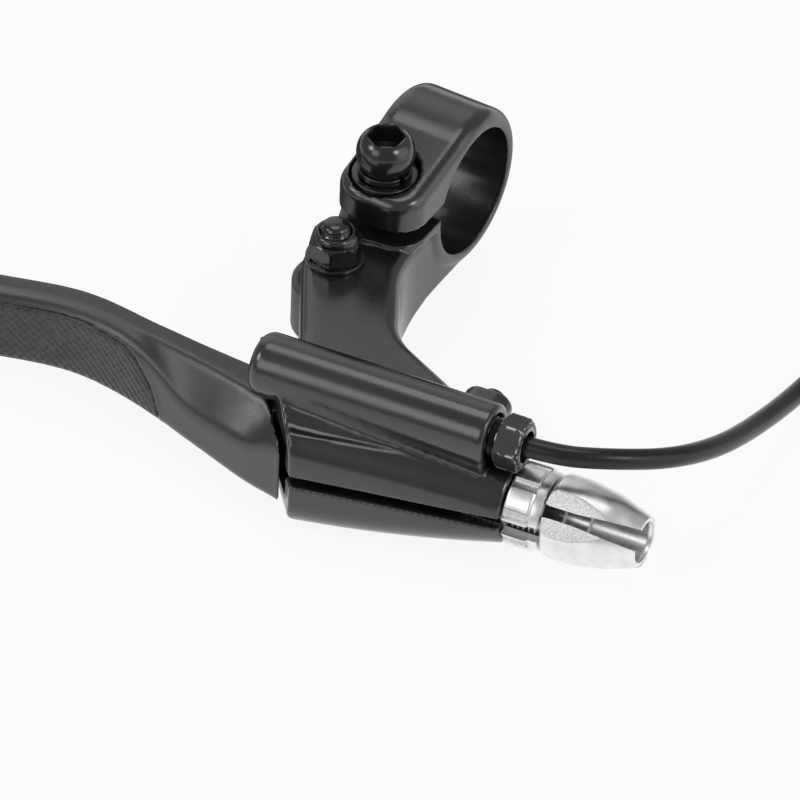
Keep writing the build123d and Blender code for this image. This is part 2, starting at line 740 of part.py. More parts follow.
def make_adjuster():
    """The slotted barrel adjuster: thread, bullet-shaped grip with six flats, cable bore and housing seat."""
    radius = barrel_diameter / 2
    tip_x = barrel_x + barrel_length
    straight_x = barrel_x + barrel_shoulder + barrel_straight
    tip_radius = barrel_tip_diameter / 2
    mid_radius = tip_radius + barrel_fullness * (radius - tip_radius)
    nose = ThreePointArc(
        (straight_x, radius), ((straight_x + tip_x) / 2, mid_radius), (tip_x, tip_radius)
    )
    rest = Polyline(
        (tip_x, tip_radius),
        (tip_x, 0),
        (barrel_x, 0),
        (barrel_x, radius - barrel_shoulder),
        (barrel_x + barrel_shoulder, radius),
        (straight_x, radius),
    )
    barrel = revolve(make_face([*nose.edges(), *rest.edges()]), Axis.X)
    flats = across(barrel_x) * Rot(0, 0, 90 - slot_turn) * extrude(hexagon(barrel_flats), barrel_length)
    adjuster = (barrel & flats) + bar_x(adjuster_thread, -adjuster_insert, barrel_x)
    seat_x = tip_x - ferrule_depth
    adjuster -= bar_x(ferrule_bore, seat_x, tip_x + over)
    adjuster -= bar_x(throat_bore, seat_x - throat_length, seat_x)
    adjuster -= bar_x(adjuster_bore, -adjuster_insert - over, seat_x)
    return body_frame * (adjuster - radial_slot(adjuster_slot, slot_turn))


def make_lock_ring():
    """The lobed lock ring with its plain collar and its cable slot."""
    collar_x = ring_x + ring_length - ring_collar_length
    lobes = bar_x(ring_diameter, ring_x, collar_x)
    lobes = fillet(lobes.edges().filter_by(GeomType.CIRCLE), ring_edge)
    groove = Pos(0, ring_diameter / 2, 0) * bar_x(ring_groove, ring_x - over, collar_x + over)
    for index in range(ring_lobes):
        lobes -= Rot(360 * (index + 0.5) / ring_lobes - ring_slot_turn, 0, 0) * groove
    ring = lobes + bar_x(ring_collar_diameter, collar_x, ring_x + ring_length)
    ring -= bar_x(adjuster_thread + 2 * adjuster_fit, ring_x - over, ring_x + ring_length + over)
    return body_frame * (ring - radial_slot(adjuster_slot, ring_slot_turn))


def make_lead():
    """The lead: straight runs joined by arcs as large as the runs allow."""
    radii = []
    for before, corner, after in zip(lead_points, lead_points[1:], lead_points[2:]):
        first = Vector(*corner) - Vector(*before)
        second = Vector(*after) - Vector(*corner)
        half_turn = math.radians(first.get_angle(second) / 2)
        radii.append(run_share * min(first.length, second.length) / math.tan(half_turn))
    print("lead arcs", [round(radius, 1) for radius in radii])
    path = FilletPolyline(*lead_points, radius=radii)
    tube = sweep(Plane(origin=path @ 0, z_dir=path % 0) * Circle(lead_diameter / 2), path=path)
    section = math.pi * lead_diameter**2 / 4
    print("lead length", round(path.length, 1), "volume share", round(tube.volume / section / path.length, 4))
    return tube


def make_plug():
    """The round plug on the lead's end, with its pins standing in the socket."""
    direction = Vector(*lead_points[-1]) - Vector(*lead_points[-2])
    frame = Plane(origin=lead_points[-1], z_dir=direction).location
    relief = Cone(
        plug_relief_diameter / 2,
        plug_diameter / 2,
        plug_relief_length,
        align=(Align.CENTER, Align.CENTER, Align.MIN),
    )
    floor = plug_length - plug_socket_depth
    plug = relief + post(plug_diameter, plug_relief_length, plug_length)
    plug -= post(plug_diameter - 2 * plug_wall, floor, plug_length + over)
    pin = fillet(top_rim(post(pin_diameter, floor, floor + pin_length)), pin_round)
    pins = [
        Rot(0, 0, 360 * index / pin_count) * Pos(pin_circle / 2, 0, 0) * pin for index in range(pin_count)
    ]
    return frame * plug, frame * Compound(children=pins)


gland_right = housing_right + gland_neck_length + gland_hex_length
head_seat_z = ear_seat_z + plain_washer_thickness + spring_washer_thickness
nut_seat_z = arm_top_z + pivot_washer_thickness
nut_top_z = nut_seat_z + nut_height + nut_collar_height
ring_x = ring_gap
barrel_x = ring_x + ring_length + ring_gap

# The lead leaves the gland straight, bends round under the handlebar and lies on the floor behind it.
lead_start = (switch_axis * Pos(gland_right - gland_seat_depth, 0, 0)).position
lead_out = (switch_axis * Pos(gland_right + gland_hex_length, 0, 0)).position
lead_points = [
    tuple(lead_start),
    tuple(lead_out),
    (63.4, -51.2, 3.6),
    (70.0, -43.0, 0.8),
    (72.2, -30.6, -4.6),
    (71.9, -16.5, -10.0),
    (71.0, -0.5, -14.9),
    (70.6, 14.0, -16.7),
    (76.5, 26.0, -16.6),
    (88.0, 32.5, -15.0),
    (98.5, 36.5, -14.6),
]

blade_form = make_blade()
grip_inlay = make_inlay(blade_form)
bush_upper, bush_lower = make_bushes()
pivot_nut, nut_ring = make_pivot_nut()
lead_plug, plug_pins = make_plug()
ear_hole = clamp_bolt_diameter + 2 * bolt_clearance
pivot_hole = pivot_diameter + 2 * bolt_clearance
bore_fit = housing_bore - 2 * slip

pieces = {
    "bracket": make_bracket(),
    "clamp_washer": clamp_bolt_axis
    * Pos(0, 0, ear_seat_z)
    * make_washer(plain_washer_diameter, ear_hole, plain_washer_thickness),
    "clamp_spring_washer": clamp_bolt_axis
    * Pos(0, 0, ear_seat_z + plain_washer_thickness)
    * make_spring_washer(),
    "clamp_bolt": make_clamp_bolt(),
    "pivot_bolt": make_pivot_bolt(),
    "pivot_washer": pivot_axis
    * Pos(0, 0, arm_top_z)
    * make_washer(pivot_washer_diameter, pivot_hole, pivot_washer_thickness),
    "pivot_nut": pivot_nut,
    "pivot_nut_insert": nut_ring,
    "return_spring": make_spring(),
    "switch_capsule": switch_axis * bar_x(bore_fit, bore_left, grommet_left),
    "switch_grommet": switch_axis
    * (bar_x(bore_fit, grommet_left, gland_left) - bar_x(wire_hole, grommet_left, gland_left)),
    "switch_gland": make_gland(),
    "gland_lock_screw": make_lock_screw(),
    "lever_blade": make_lever(blade_form) - grip_inlay,
    "grip_inlay": grip_inlay,
    "pivot_bush_upper": bush_upper,
    "pivot_bush_lower": bush_lower,
    "switch_magnet": magnet_axis * post(magnet_diameter, 0, magnet_length),
    "barrel_adjuster": make_adjuster(),
    "lock_ring": make_lock_ring(),
    "switch_lead": make_lead(),
    "lead_plug": lead_plug,
    "plug_pins": plug_pins,
}
for name, piece in pieces.items():
    export_step(piece, f"parts/{name}.step")
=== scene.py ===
import json
import math

import bpy
import numpy as np
from mathutils import Matrix, Vector


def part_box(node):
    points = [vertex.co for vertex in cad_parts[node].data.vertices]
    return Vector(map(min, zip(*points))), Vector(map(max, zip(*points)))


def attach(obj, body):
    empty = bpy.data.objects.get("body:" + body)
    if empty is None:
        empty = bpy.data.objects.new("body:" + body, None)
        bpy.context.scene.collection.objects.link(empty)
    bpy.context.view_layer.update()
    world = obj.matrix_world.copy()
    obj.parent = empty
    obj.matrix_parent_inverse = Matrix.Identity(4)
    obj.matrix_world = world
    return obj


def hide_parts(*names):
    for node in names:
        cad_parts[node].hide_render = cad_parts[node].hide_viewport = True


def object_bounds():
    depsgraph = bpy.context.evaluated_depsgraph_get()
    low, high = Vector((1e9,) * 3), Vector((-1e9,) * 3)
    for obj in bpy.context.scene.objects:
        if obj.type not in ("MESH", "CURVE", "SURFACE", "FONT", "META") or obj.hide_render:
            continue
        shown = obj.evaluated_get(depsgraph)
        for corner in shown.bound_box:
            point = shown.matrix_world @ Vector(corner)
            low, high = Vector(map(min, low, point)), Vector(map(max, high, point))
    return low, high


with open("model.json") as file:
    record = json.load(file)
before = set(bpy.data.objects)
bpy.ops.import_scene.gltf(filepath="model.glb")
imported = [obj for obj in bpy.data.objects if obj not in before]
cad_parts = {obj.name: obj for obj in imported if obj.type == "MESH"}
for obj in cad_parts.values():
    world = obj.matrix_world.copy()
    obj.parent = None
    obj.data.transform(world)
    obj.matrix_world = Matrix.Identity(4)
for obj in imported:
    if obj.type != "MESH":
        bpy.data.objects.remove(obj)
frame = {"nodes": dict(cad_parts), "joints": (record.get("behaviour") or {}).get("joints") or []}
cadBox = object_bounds()
nodes = frame["nodes"]
joints = {joint["name"]: joint for joint in frame["joints"]}
scene = bpy.context.scene
scene.view_settings.view_transform = "Standard"
mm = 0.001
print("frame loaded:", len(nodes), "nodes")

# The camera of the photograph, so far off that the view is almost without perspective
photoView = {
    "lookAt": (0.00871, -0.02272, -0.02869),
    "right": (0.864, 0.504, 0.029),
    "up": (-0.344, 0.545, 0.7655),
    "fieldWidth": 0.1316,
    "distance": 3.0,
    "sensor": 36.0,
}


def newObject(name, data):
    thing = bpy.data.objects.new(name, data)
    scene.collection.objects.link(thing)
    return thing


def makeCamera(view):
    right = Vector(view["right"]).normalized()
    back = right.cross(Vector(view["up"])).normalized()
    up = back.cross(right)
    camera = newObject("photoCamera", bpy.data.cameras.new("photoCamera"))
    camera.data.sensor_width = view["sensor"]
    camera.data.lens = view["sensor"] * view["distance"] / view["fieldWidth"]
    camera.data.clip_end = view["distance"] * 10
    camera.matrix_world = Matrix((right, up, back)).transposed().to_4x4()
    camera.location = Vector(view["lookAt"]) + back * view["distance"]
    scene.camera = camera


makeCamera(photoView)
print("camera set")


# Node helpers for the finishes


def newFinish(name):
    finish = bpy.data.materials.new(name)
    finish.use_nodes = True
    tree = finish.node_tree
    return finish, tree, tree.nodes["Principled BSDF"]


def addNode(tree, kind, sockets={}, **settings):
    node = tree.nodes.new(kind)
    for key, value in settings.items():
        setattr(node, key, value)
    for key, value in sockets.items():
        node.inputs[key].default_value = value
    return node


def objectCoords(tree, stretch=(1, 1, 1), turn=0.0):
    coords = addNode(tree, "ShaderNodeTexCoord").outputs["Object"]
    mapping = addNode(tree, "ShaderNodeMapping", {"Scale": stretch, "Rotation": (0, 0, math.radians(turn))})
    tree.links.new(coords, mapping.inputs["Vector"])
    return mapping.outputs["Vector"]


def noiseValue(tree, coords, scale, detail, roughness=0.5):
    sockets = {"Scale": scale, "Detail": detail, "Roughness": roughness}
    noise = addNode(tree, "ShaderNodeTexNoise", sockets)
    tree.links.new(coords, noise.inputs["Vector"])
    return noise.outputs["Fac"]


def spread(tree, value, low, high, fromLow, fromHigh, course="LINEAR"):
    sockets = {"From Min": fromLow, "From Max": fromHigh, "To Min": low, "To Max": high}
    node = addNode(tree, "ShaderNodeMapRange", sockets, interpolation_type=course)
    tree.links.new(value, node.inputs["Value"])
    return node.outputs["Result"]


def combine(tree, operation, first, second):
    node = addNode(tree, "ShaderNodeMath", operation=operation)
    for socket, value in zip(node.inputs, (first, second)):
        if isinstance(value, (int, float)):
            socket.default_value = value
        else:
            tree.links.new(value, socket)
    return node.outputs["Value"]


def add(tree, first, second):
    return combine(tree, "ADD", first, second)


def multiply(tree, first, second):
    return combine(tree, "MULTIPLY", first, second)


def dots(tree, coords, scale, size, core=0.4):
    # 1 in small round dots at random places, 0 between them
    cells = addNode(tree, "ShaderNodeTexVoronoi", {"Scale": scale})
    tree.links.new(coords, cells.inputs["Vector"])
    return spread(tree, cells.outputs["Distance"], 1, 0, size * core, size)


def tint(tree, factor, low, high):
    node = addNode(tree, "ShaderNodeMix", data_type="RGBA")
    for socket, value in ((node.inputs["A"], low), (node.inputs["B"], high)):
        if isinstance(value, tuple):
            socket.default_value = (*value, 1)
        else:
            tree.links.new(value, socket)
    tree.links.new(factor, node.inputs["Factor"])
    return node.outputs["Result"]


def clouded(tree, cloud, look):
    # From the deep to the pale colour as the cloud's value crosses its range
    return tint(tree, spread(tree, cloud, 0, 1, *look["cloudFrom"]), look["deep"], look["pale"])


def attribute(tree, name):
    return addNode(tree, "ShaderNodeAttribute", attribute_name=name).outputs["Fac"]


def joinUp(tree, shader, look, colour, rough, height):
    bump = addNode(tree, "ShaderNodeBump", {"Strength": look["bump"], "Distance": look["bumpDepth"]})
    tree.links.new(height, bump.inputs["Height"])
    tree.links.new(bump.outputs["Normal"], shader.inputs["Normal"])
    tree.links.new(colour, shader.inputs["Base Color"])
    tree.links.new(rough, shader.inputs["Roughness"])
    shader.inputs["IOR"].default_value = look["ior"]


# Satin black paint on the castings: orange peel, fine grit, a few nibs, edges rubbed brighter.
# Four numbers for a range are its new low and high, then the old ones.
paintLook = {
    "deep": (0.007, 0.007, 0.0073),
    "pale": (0.012, 0.012, 0.0124),
    "rubbed": (0.035, 0.035, 0.035),
    "rubbedGrit": (0.3, 1.0, 0.35, 0.6),
    "rough": (0.18, 0.26),
    "roughFrom": (0.75, 1.25),
    "matte": 0.12,
    "ior": 1.7,
    "cloudScale": 90.0,
    "cloudFrom": (0.3, 0.7),
    "peelScale": 700.0,
    "gritScale": 2600.0,
    "gritHeight": 0.5,
    "nibScale": 230.0,
    "nibSize": 0.06,
    "nibHeight": 1.6,
    "bump": 0.17,
    "bumpDepth": 0.00005,
}


def makePaint(look):
    finish, tree, shader = newFinish("satinPaint")
    coords = objectCoords(tree)
    cloud = noiseValue(tree, coords, look["cloudScale"], 4)
    peel = noiseValue(tree, coords, look["peelScale"], 2)
    grit = noiseValue(tree, coords, look["gritScale"], 3)
    nibs = dots(tree, coords, look["nibScale"], look["nibSize"])
    body = clouded(tree, cloud, look)
    rubbed = multiply(tree, attribute(tree, "edgeWear"), spread(tree, grit, *look["rubbedGrit"]))
    rough = spread(tree, add(tree, cloud, grit), *look["rough"], *look["roughFrom"])
    rough = add(tree, rough, multiply(tree, attribute(tree, "matte"), look["matte"]))
    height = add(tree, peel, multiply(tree, grit, look["gritHeight"]))
    height = add(tree, height, multiply(tree, nibs, look["nibHeight"]))
    joinUp(tree, shader, look, tint(tree, rubbed, body, look["rubbed"]), rough, height)
    return finish


# Glossy blackened steel of the bolts, nut and washers
steelLook = {
    "deep": (0.004, 0.004, 0.0042),
    "pale": (0.013, 0.013, 0.0134),
    "rough": (0.10, 0.20),
    "ior": 1.6,
    "cloudScale": 260.0,
    "cloudFrom": (0.35, 0.65),
    "gritScale": 2400.0,
    "bump": 0.12,
    "bumpDepth": 0.00003,
}


def makeBlackSteel(look):
    finish, tree, shader = newFinish("blackSteel")
    coords = objectCoords(tree)
    cloud = noiseValue(tree, coords, look["cloudScale"], 4)
    grit = noiseValue(tree, coords, look["gritScale"], 2)
    rough = spread(tree, cloud, *look["rough"], *look["cloudFrom"])
    joinUp(tree, shader, look, clouded(tree, cloud, look), rough, grit)
    return finish


# Satin black gland, with its corners chipped to bare metal
glandLook = {
    "deep": (0.009, 0.009, 0.0095),
    "pale": (0.016, 0.016, 0.0165),
    "bare": (0.62, 0.62, 0.63),
    "rough": (0.30, 0.42),
    "ior": 1.42,
    "cloudScale": 300.0,
    "cloudFrom": (0.35, 0.65),
    "chipScale": 900.0,
    "chipFrom": (0.45, 0.53),
    "gritScale": 3500.0,
    "bump": 0.25,
    "bumpDepth": 0.00004,
}


def makeGlandFinish(look):
    finish, tree, shader = newFinish("chippedBlack")
    coords = objectCoords(tree)
    cloud = noiseValue(tree, coords, look["cloudScale"], 4)
    chip = noiseValue(tree, coords, look["chipScale"], 3)
    grit = noiseValue(tree, coords, look["gritScale"], 2)
    bare = multiply(tree, attribute(tree, "edgeWear"), spread(tree, chip, 0, 1, *look["chipFrom"]))
    body = clouded(tree, cloud, look)
    tree.links.new(bare, shader.inputs["Metallic"])
    rough = spread(tree, cloud, *look["rough"], *look["cloudFrom"])
    joinUp(tree, shader, look, tint(tree, bare, body, look["bare"]), rough, add(tree, grit, chip))
    return finish


# Bright alloy of the adjuster and lock ring: polished, with sawn flats and grooves left grainy
alloyLook = {
    "deep": (0.68, 0.68, 0.69),
    "pale": (0.82, 0.82, 0.83),
    "dull": (0.46, 0.46, 0.47),
    "dullGrain": (1.0, 0.2, 0.38, 0.60),
    "polished": (0.30, 0.40),
    "polishedFrom": (0.8, 1.2),
    "grainy": 0.10,
    "ior": 1.5,
    "cloudScale": 420.0,
    "cloudFrom": (0.3, 0.7),
    "grainScale": 3400.0,
    "grainRoughness": 0.65,
    "grainHeight": 0.6,
    "lineScale": 900.0,
    "lineStretch": (0.05, 1, 1),
    "lineTurn": -5.3,
    "lineHeight": 0.10,
    "bump": 0.8,
    "bumpDepth": 0.00005,
}


def makeAlloy(look):
    finish, tree, shader = newFinish("brightAlloy")
    coords = objectCoords(tree)
    stretched = objectCoords(tree, look["lineStretch"], look["lineTurn"])
    lines = noiseValue(tree, stretched, look["lineScale"], 3)
    cloud = noiseValue(tree, coords, look["cloudScale"], 4)
    grain = noiseValue(tree, coords, look["grainScale"], 3, look["grainRoughness"])
    rawness = attribute(tree, "grain")
    speck = multiply(tree, rawness, spread(tree, grain, *look["dullGrain"]))
    body = clouded(tree, cloud, look)
    shader.inputs["Metallic"].default_value = 1.0
    smooth = spread(tree, add(tree, cloud, lines), *look["polished"], *look["polishedFrom"])
    rough = add(tree, smooth, multiply(tree, rawness, look["grainy"]))
    raised = multiply(tree, multiply(tree, rawness, look["grainHeight"]), grain)
    height = add(tree, raised, multiply(tree, lines, look["lineHeight"]))
    joinUp(tree, shader, look, tint(tree, speck, body, look["dull"]), rough, height)
    return finish


# Plain finishes for the pieces that show little, with what most of them share
plainBase = {"cloudFrom": (0.4, 0.6), "bumpDepth": 0.00004, "metal": 0.0, "ior": 1.5}
plainLooks = {
    "leadJacket": {"deep": (0.007, 0.007, 0.0073), "pale": (0.013, 0.013, 0.0134), "rough": (0.25, 0.34),
                   "cloud": 160.0, "grain": 2200.0, "bump": 0.16, "ior": 1.4},
    "gripPad": {"deep": (0.010, 0.010, 0.0104), "pale": (0.050, 0.050, 0.051), "rough": (0.28, 0.46),
                "cloud": 700.0, "grain": 4200.0, "bump": 0.25},
    "springSteel": {"deep": (0.34, 0.34, 0.35), "pale": (0.55, 0.55, 0.56), "rough": (0.24, 0.38),
                    "cloud": 500.0, "grain": 3000.0, "bump": 0.2, "metal": 1.0},
    "bushNylon": {"deep": (0.62, 0.62, 0.59), "pale": (0.76, 0.76, 0.73), "rough": (0.42, 0.55),
                  "cloud": 300.0, "grain": 2500.0, "bump": 0.15},
    "switchPlastic": {"deep": (0.018, 0.018, 0.0185), "pale": (0.030, 0.030, 0.031), "rough": (0.40, 0.54),
                      "cloud": 240.0, "grain": 2600.0, "bump": 0.3},
    "sealRubber": {"deep": (0.013, 0.013, 0.013), "pale": (0.022, 0.022, 0.022), "rough": (0.6, 0.75),
                   "cloud": 260.0, "grain": 2000.0, "bump": 0.35},
    "pinBrass": {"deep": (0.66, 0.48, 0.20), "pale": (0.86, 0.68, 0.34), "rough": (0.18, 0.30),
                 "cloud": 700.0, "grain": 4000.0, "bump": 0.12, "metal": 1.0},
}


def makePlain(name, look):
    finish, tree, shader = newFinish(name)
    coords = objectCoords(tree)
    cloud = noiseValue(tree, coords, look["cloud"], 4)
    grain = noiseValue(tree, coords, look["grain"], 3)
    mean = multiply(tree, add(tree, cloud, grain), 0.5)
    shader.inputs["Metallic"].default_value = look["metal"]
    rough = spread(tree, mean, *look["rough"], *look["cloudFrom"])
    joinUp(tree, shader, look, clouded(tree, mean, look), rough, grain)
    return finish


satinPaint = makePaint(paintLook)
blackSteel = makeBlackSteel(steelLook)
chippedBlack = makeGlandFinish(glandLook)
brightAlloy = makeAlloy(alloyLook)
plain = {name: makePlain(name, {**plainBase, **look}) for name, look in plainLooks.items()}
print("finishes made")

# Mesh helpers


def vertexArray(mesh):
    co = np.empty(len(mesh.vertices) * 3)
    mesh.vertices.foreach_get("co", co)
    return co.reshape(-1, 3)


def relax(mesh, passes, pull=0.5, push=0.52):
    # Each pass moves every vertex towards the mean of its neighbours, then a little more back,
    # so that edges and inner corners round off while the walls keep their place.
    co = vertexArray(mesh)
    ends = np.empty(len(mesh.edges) * 2, dtype=np.int64)
    mesh.edges.foreach_get("vertices", ends)
    first, second = ends.reshape(-1, 2).T
    count = np.bincount(ends, minlength=len(co))[:, None]
    for step in [pull, -push] * passes:
        total = [
            np.bincount(first, co[second, k], len(co))
            + np.bincount(second, co[first, k], len(co))
            for k in range(3)
        ]
        co += step * (np.stack(total, axis=1) / count - co)
    return co


def mark(piece, name, values):
    layer = piece.data.attributes.new(name, "FLOAT", "POINT")
    layer.data.foreach_set("value", values)


def markEdges(piece, passes, low, high):
    # edgeWear: how far a vertex would sink along its normal if it were smoothed, from low to high
    co = vertexArray(piece.data)
    normal = np.empty(len(co) * 3)
    piece.data.vertex_normals.foreach_get("vector", normal)
    sink = ((co - relax(piece.data, passes, push=0.0)) * normal.reshape(-1, 3)).sum(1)
    mark(piece, "edgeWear", np.clip((sink - low) / (high - low), 0, 1))


def applyAll(piece):
    # Puts the result of the modifiers into the mesh and removes them
    bpy.context.view_layer.update()
    shape = piece.evaluated_get(bpy.context.evaluated_depsgraph_get())
    made = bpy.data.meshes.new_from_object(shape)
    piece.modifiers.clear()
    piece.data = made


def lineShare(co, line, reach):
    # 1 close to a straight line, fading to 0 with the distance from it
    first, last = (np.array(end) * mm for end in line)
    ahead = last - first
    along = np.clip((co - first) @ ahead / (ahead @ ahead), 0, 1)
    away = np.linalg.norm(co - first - along[:, None] * ahead, axis=1)
    return np.interp(away / mm, reach, (1, 0))[:, None]


def castCopy(name, node, look):
    # A copy of the solid, merged, cut into small even faces and relaxed, so that its edges are soft.
    # The stretch near softLine is relaxed much more.
    piece = newObject(name, nodes[node].data.copy())
    piece.data.materials.clear()
    piece.modifiers.new("weld", "WELD").merge_threshold = look["weld"]
    remesh = piece.modifiers.new("remesh", "REMESH")
    remesh.mode = "VOXEL"
    remesh.voxel_size = look["voxel"]
    applyAll(piece)
    co = relax(piece.data, look["passes"])
    piece.data.vertices.foreach_set("co", co.ravel())
    share = lineShare(co, look["softLine"], look["softReach"])
    co += share * (relax(piece.data, look["softPasses"]) - co)
    piece.data.vertices.foreach_set("co", co.ravel())
    mark(piece, "matte", np.full(len(co), look["matte"]))
    triangles = 2 * len(piece.data.polygons)
    piece.modifiers.new("thin", "DECIMATE").ratio = min(1.0, look["faces"] / triangles)
    applyAll(piece)
    piece.data.shade_smooth()
    markEdges(piece, look["wearPasses"], *look["wear"])
    return piece


def place(piece, body, slot, finish, *replaced):
    piece.data.materials.append(finish)
    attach(piece, body)
    if replaced:
        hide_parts(*replaced)
    print("made", piece.name)


def putMesh(name, points, groups, sharp=40.0):
    # Each group holds faces with the same number of corners. All faces are turned outwards by the sign of
    # the volume they enclose.
    fans = [group[:, [0, k, k + 1]] for group in groups for k in range(1, group.shape[1] - 1)]
    a, b, c = (points[corner] for corner in np.concatenate(fans).T)
    if (a * np.cross(b, c)).sum() < 0:
        groups = [group[:, ::-1] for group in groups]
    mesh = bpy.data.meshes.new(name)
    mesh.from_pydata(points.tolist(), [], sum((group.tolist() for group in groups), []))
    mesh.validate()
    mesh.shade_smooth()
    mesh.set_sharp_from_angle(angle=math.radians(sharp))
    return newObject(name, mesh)


def skin(name, rings, loop=False, sharp=40.0):
    # rings[i, j] is point j of closed ring i. Neighbouring rings are joined by quads. The end rings are
    # joined to each other where loop is set, and otherwise to a point in their middle.
    count, width = rings.shape[:2]
    index = np.arange(count * width).reshape(count, width)
    low = index if loop else index[:-1]
    high = np.roll(index, -1, 0) if loop else index[1:]
    quads = np.stack([low, np.roll(low, -1, 1), np.roll(high, -1, 1), high], -1).reshape(-1, 4)
    points = rings.reshape(-1, 3)
    if loop:
        return putMesh(name, points, [quads], sharp)
    middles = rings[[0, -1]].mean(1)
    points = np.concatenate([middles[:1], points, middles[1:]])
    first, last = index[0] + 1, index[-1] + 1
    startPole = np.zeros_like(first)
    endPole = np.full_like(last, len(points) - 1)
    start = np.stack([startPole, np.roll(first, -1), first], 1)
    end = np.stack([last, np.roll(last, -1), endPole], 1)
    return putMesh(name, points, [quads + 1, start, end], sharp)


def thickSheet(name, front, back, sharp=40.0):
    # Two grids of the same size, joined along their four borders into one closed solid
    rows, cols = front.shape[:2]
    top = np.arange(rows * cols).reshape(rows, cols)
    low = top + rows * cols
    sides = [
        np.stack([top[:-1, :-1], top[1:, :-1], top[1:, 1:], top[:-1, 1:]], -1).reshape(-1, 4),
        np.stack([low[:-1, :-1], low[:-1, 1:], low[1:, 1:], low[1:, :-1]], -1).reshape(-1, 4),
        np.stack([top[0, :-1], top[0, 1:], low[0, 1:], low[0, :-1]], -1),
        np.stack([top[-1, :-1], low[-1, :-1], low[-1, 1:], top[-1, 1:]], -1),
        np.stack([top[:-1, 0], low[:-1, 0], low[1:, 0], top[1:, 0]], -1),
        np.stack([top[:-1, -1], top[1:, -1], low[1:, -1], low[:-1, -1]], -1),
    ]
    points = np.concatenate([front.reshape(-1, 3), back.reshape(-1, 3)])
    return putMesh(name, points, [np.concatenate(sides)], sharp)


def rounded(corners, radius, steps=6, most=0.45):
    # A line of corners with each inner corner replaced by a curve that leaves the line radius away from it,
    # or at most that share of the side away
    corners = np.asarray(corners, float)
    t = np.linspace(0, 1, steps)[:, None]
    line = [corners[:1]]
    for before, corner, after in zip(corners, corners[1:], corners[2:]):
        reach = [min(radius, most * np.linalg.norm(end - corner)) for end in (before, after)]
        start = corner + (before - corner) / np.linalg.norm(before - corner) * reach[0]
        stop = corner + (after - corner) / np.linalg.norm(after - corner) * reach[1]
        line.append((1 - t) ** 2 * start + 2 * t * (1 - t) * corner + t**2 * stop)
    return np.concatenate([*line, corners[-1:]])


def refine(line, step):
    # More points along a line, no further apart than step
    line = np.asarray(line, float)
    length = np.r_[0, np.cumsum(np.linalg.norm(np.diff(line, axis=0), axis=1))]
    keep = np.r_[True, np.diff(length) > 1e-9]
    at = np.union1d(length[keep], np.arange(0, length[-1], step))
    return np.stack([np.interp(at, length[keep], line[keep, k]) for k in range(line.shape[1])], 1)


def hexRadius(angle, apothem, turn):
    # Distance from the middle of a hexagon to its side, with a flat facing the angle turn
    inside = (angle - turn + math.pi / 6) % (math.pi / 3) - math.pi / 6
    return apothem / np.cos(inside)


def hexSteps(low, high, steps):
    # Heights of a hexagon's rings: some near its foot, some evenly up its sides, some near its top
    foot, (fromLow, toHigh, count), top = steps
    sides = np.linspace(low + fromLow, high - toHigh, count)
    return np.r_[low + np.array(foot), sides, high - np.array(top)]


def hexCone(height, low, high, start, slope):
    # Radius of the cones that turn off a hexagon's corners at both ends
    return start + slope * np.minimum(np.abs(height - low), np.abs(height - high))


def threadWave(height, pitch, angle, slope=1.375, crest=0.18):
    # A thread's rounded profile along its turns: 0 at the crest, 1 at the root
    phase = (height[:, None] / pitch - angle / (2 * math.pi)) % 1.0
    return np.clip(slope * np.abs(2 * phase - 1) - crest, 0, 1)


def turned(axis, height, radius, angle):
    # Rings round an axis: origin + height along + radius (side cos angle + up sin angle), in millimetres.
    # The angles are the same for all rings or have a row for each.
    origin, along, side, up = axis
    radius = np.broadcast_to(radius, (len(height), angle.shape[-1]))
    out = np.cos(angle)[..., None] * side + np.sin(angle)[..., None] * up
    return (origin + height[:, None, None] * along + radius[..., None] * out) * mm


def spun(line, angle):
    # The radii of a line of heights and radii, the same at every angle
    return np.repeat(line[:, 1:], len(angle), 1)


def around(count):
    return np.linspace(0, 2 * math.pi, count, endpoint=False)


def uprightAxis(place):
    return place * (1, 1, 0), upward, np.array((1.0, 0, 0)), np.array((0, 1.0, 0))


# Axes of the turned pieces in millimetres: origin, along, side from which angles are counted, up
upward = np.array((0.0, 0.0, 1.0))
cableJoint = joints["adjuster_turn"]
cableAlong = np.array(cableJoint["axis"], float)
cableAxis = (np.array(cableJoint["pos_m"]) / mm, cableAlong, np.cross(cableAlong, upward), upward)
pivotAxis = uprightAxis(np.array(joints["lever_pull"]["pos_m"]) / mm)
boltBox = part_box("clamp_bolt")
clampAxis = uprightAxis((np.array(boltBox[0]) + np.array(boltBox[1])) / 2 / mm)

# The bracket casting
castingLook = {
    "weld": 0.00001,
    "voxel": 0.0003,
    "passes": 24,
    "softLine": ((14.0, -64.0, -1.0), (40.0, -60.5, 0.0)),
    "softReach": (6.0, 9.5),
    "softPasses": 260,
    "matte": 0.0,
    "faces": 190000,
    "wearPasses": 5,
    "wear": (0.00003, 0.00010),
}
casting = castCopy("casting", "bracket", castingLook)
place(casting, "bracket", "black_paint", satinPaint, "bracket")

# The lever casting
leverLook = {
    "weld": 0.00001,
    "voxel": 0.00028,
    "passes": 12,
    "softLine": ((-28.0, -57.8, -8.0), (-5.0, -60.5, -8.0)),
    "softReach": (8.5, 16.5),
    "softPasses": 320,
    "matte": 1.0,
    "faces": 180000,
    "wearPasses": 5,
    "wear": (0.00003, 0.00010),
}
leverCasting = castCopy("leverCasting", "lever_blade", leverLook)
place(leverCasting, "lever", "black_paint", satinPaint, "lever_blade")

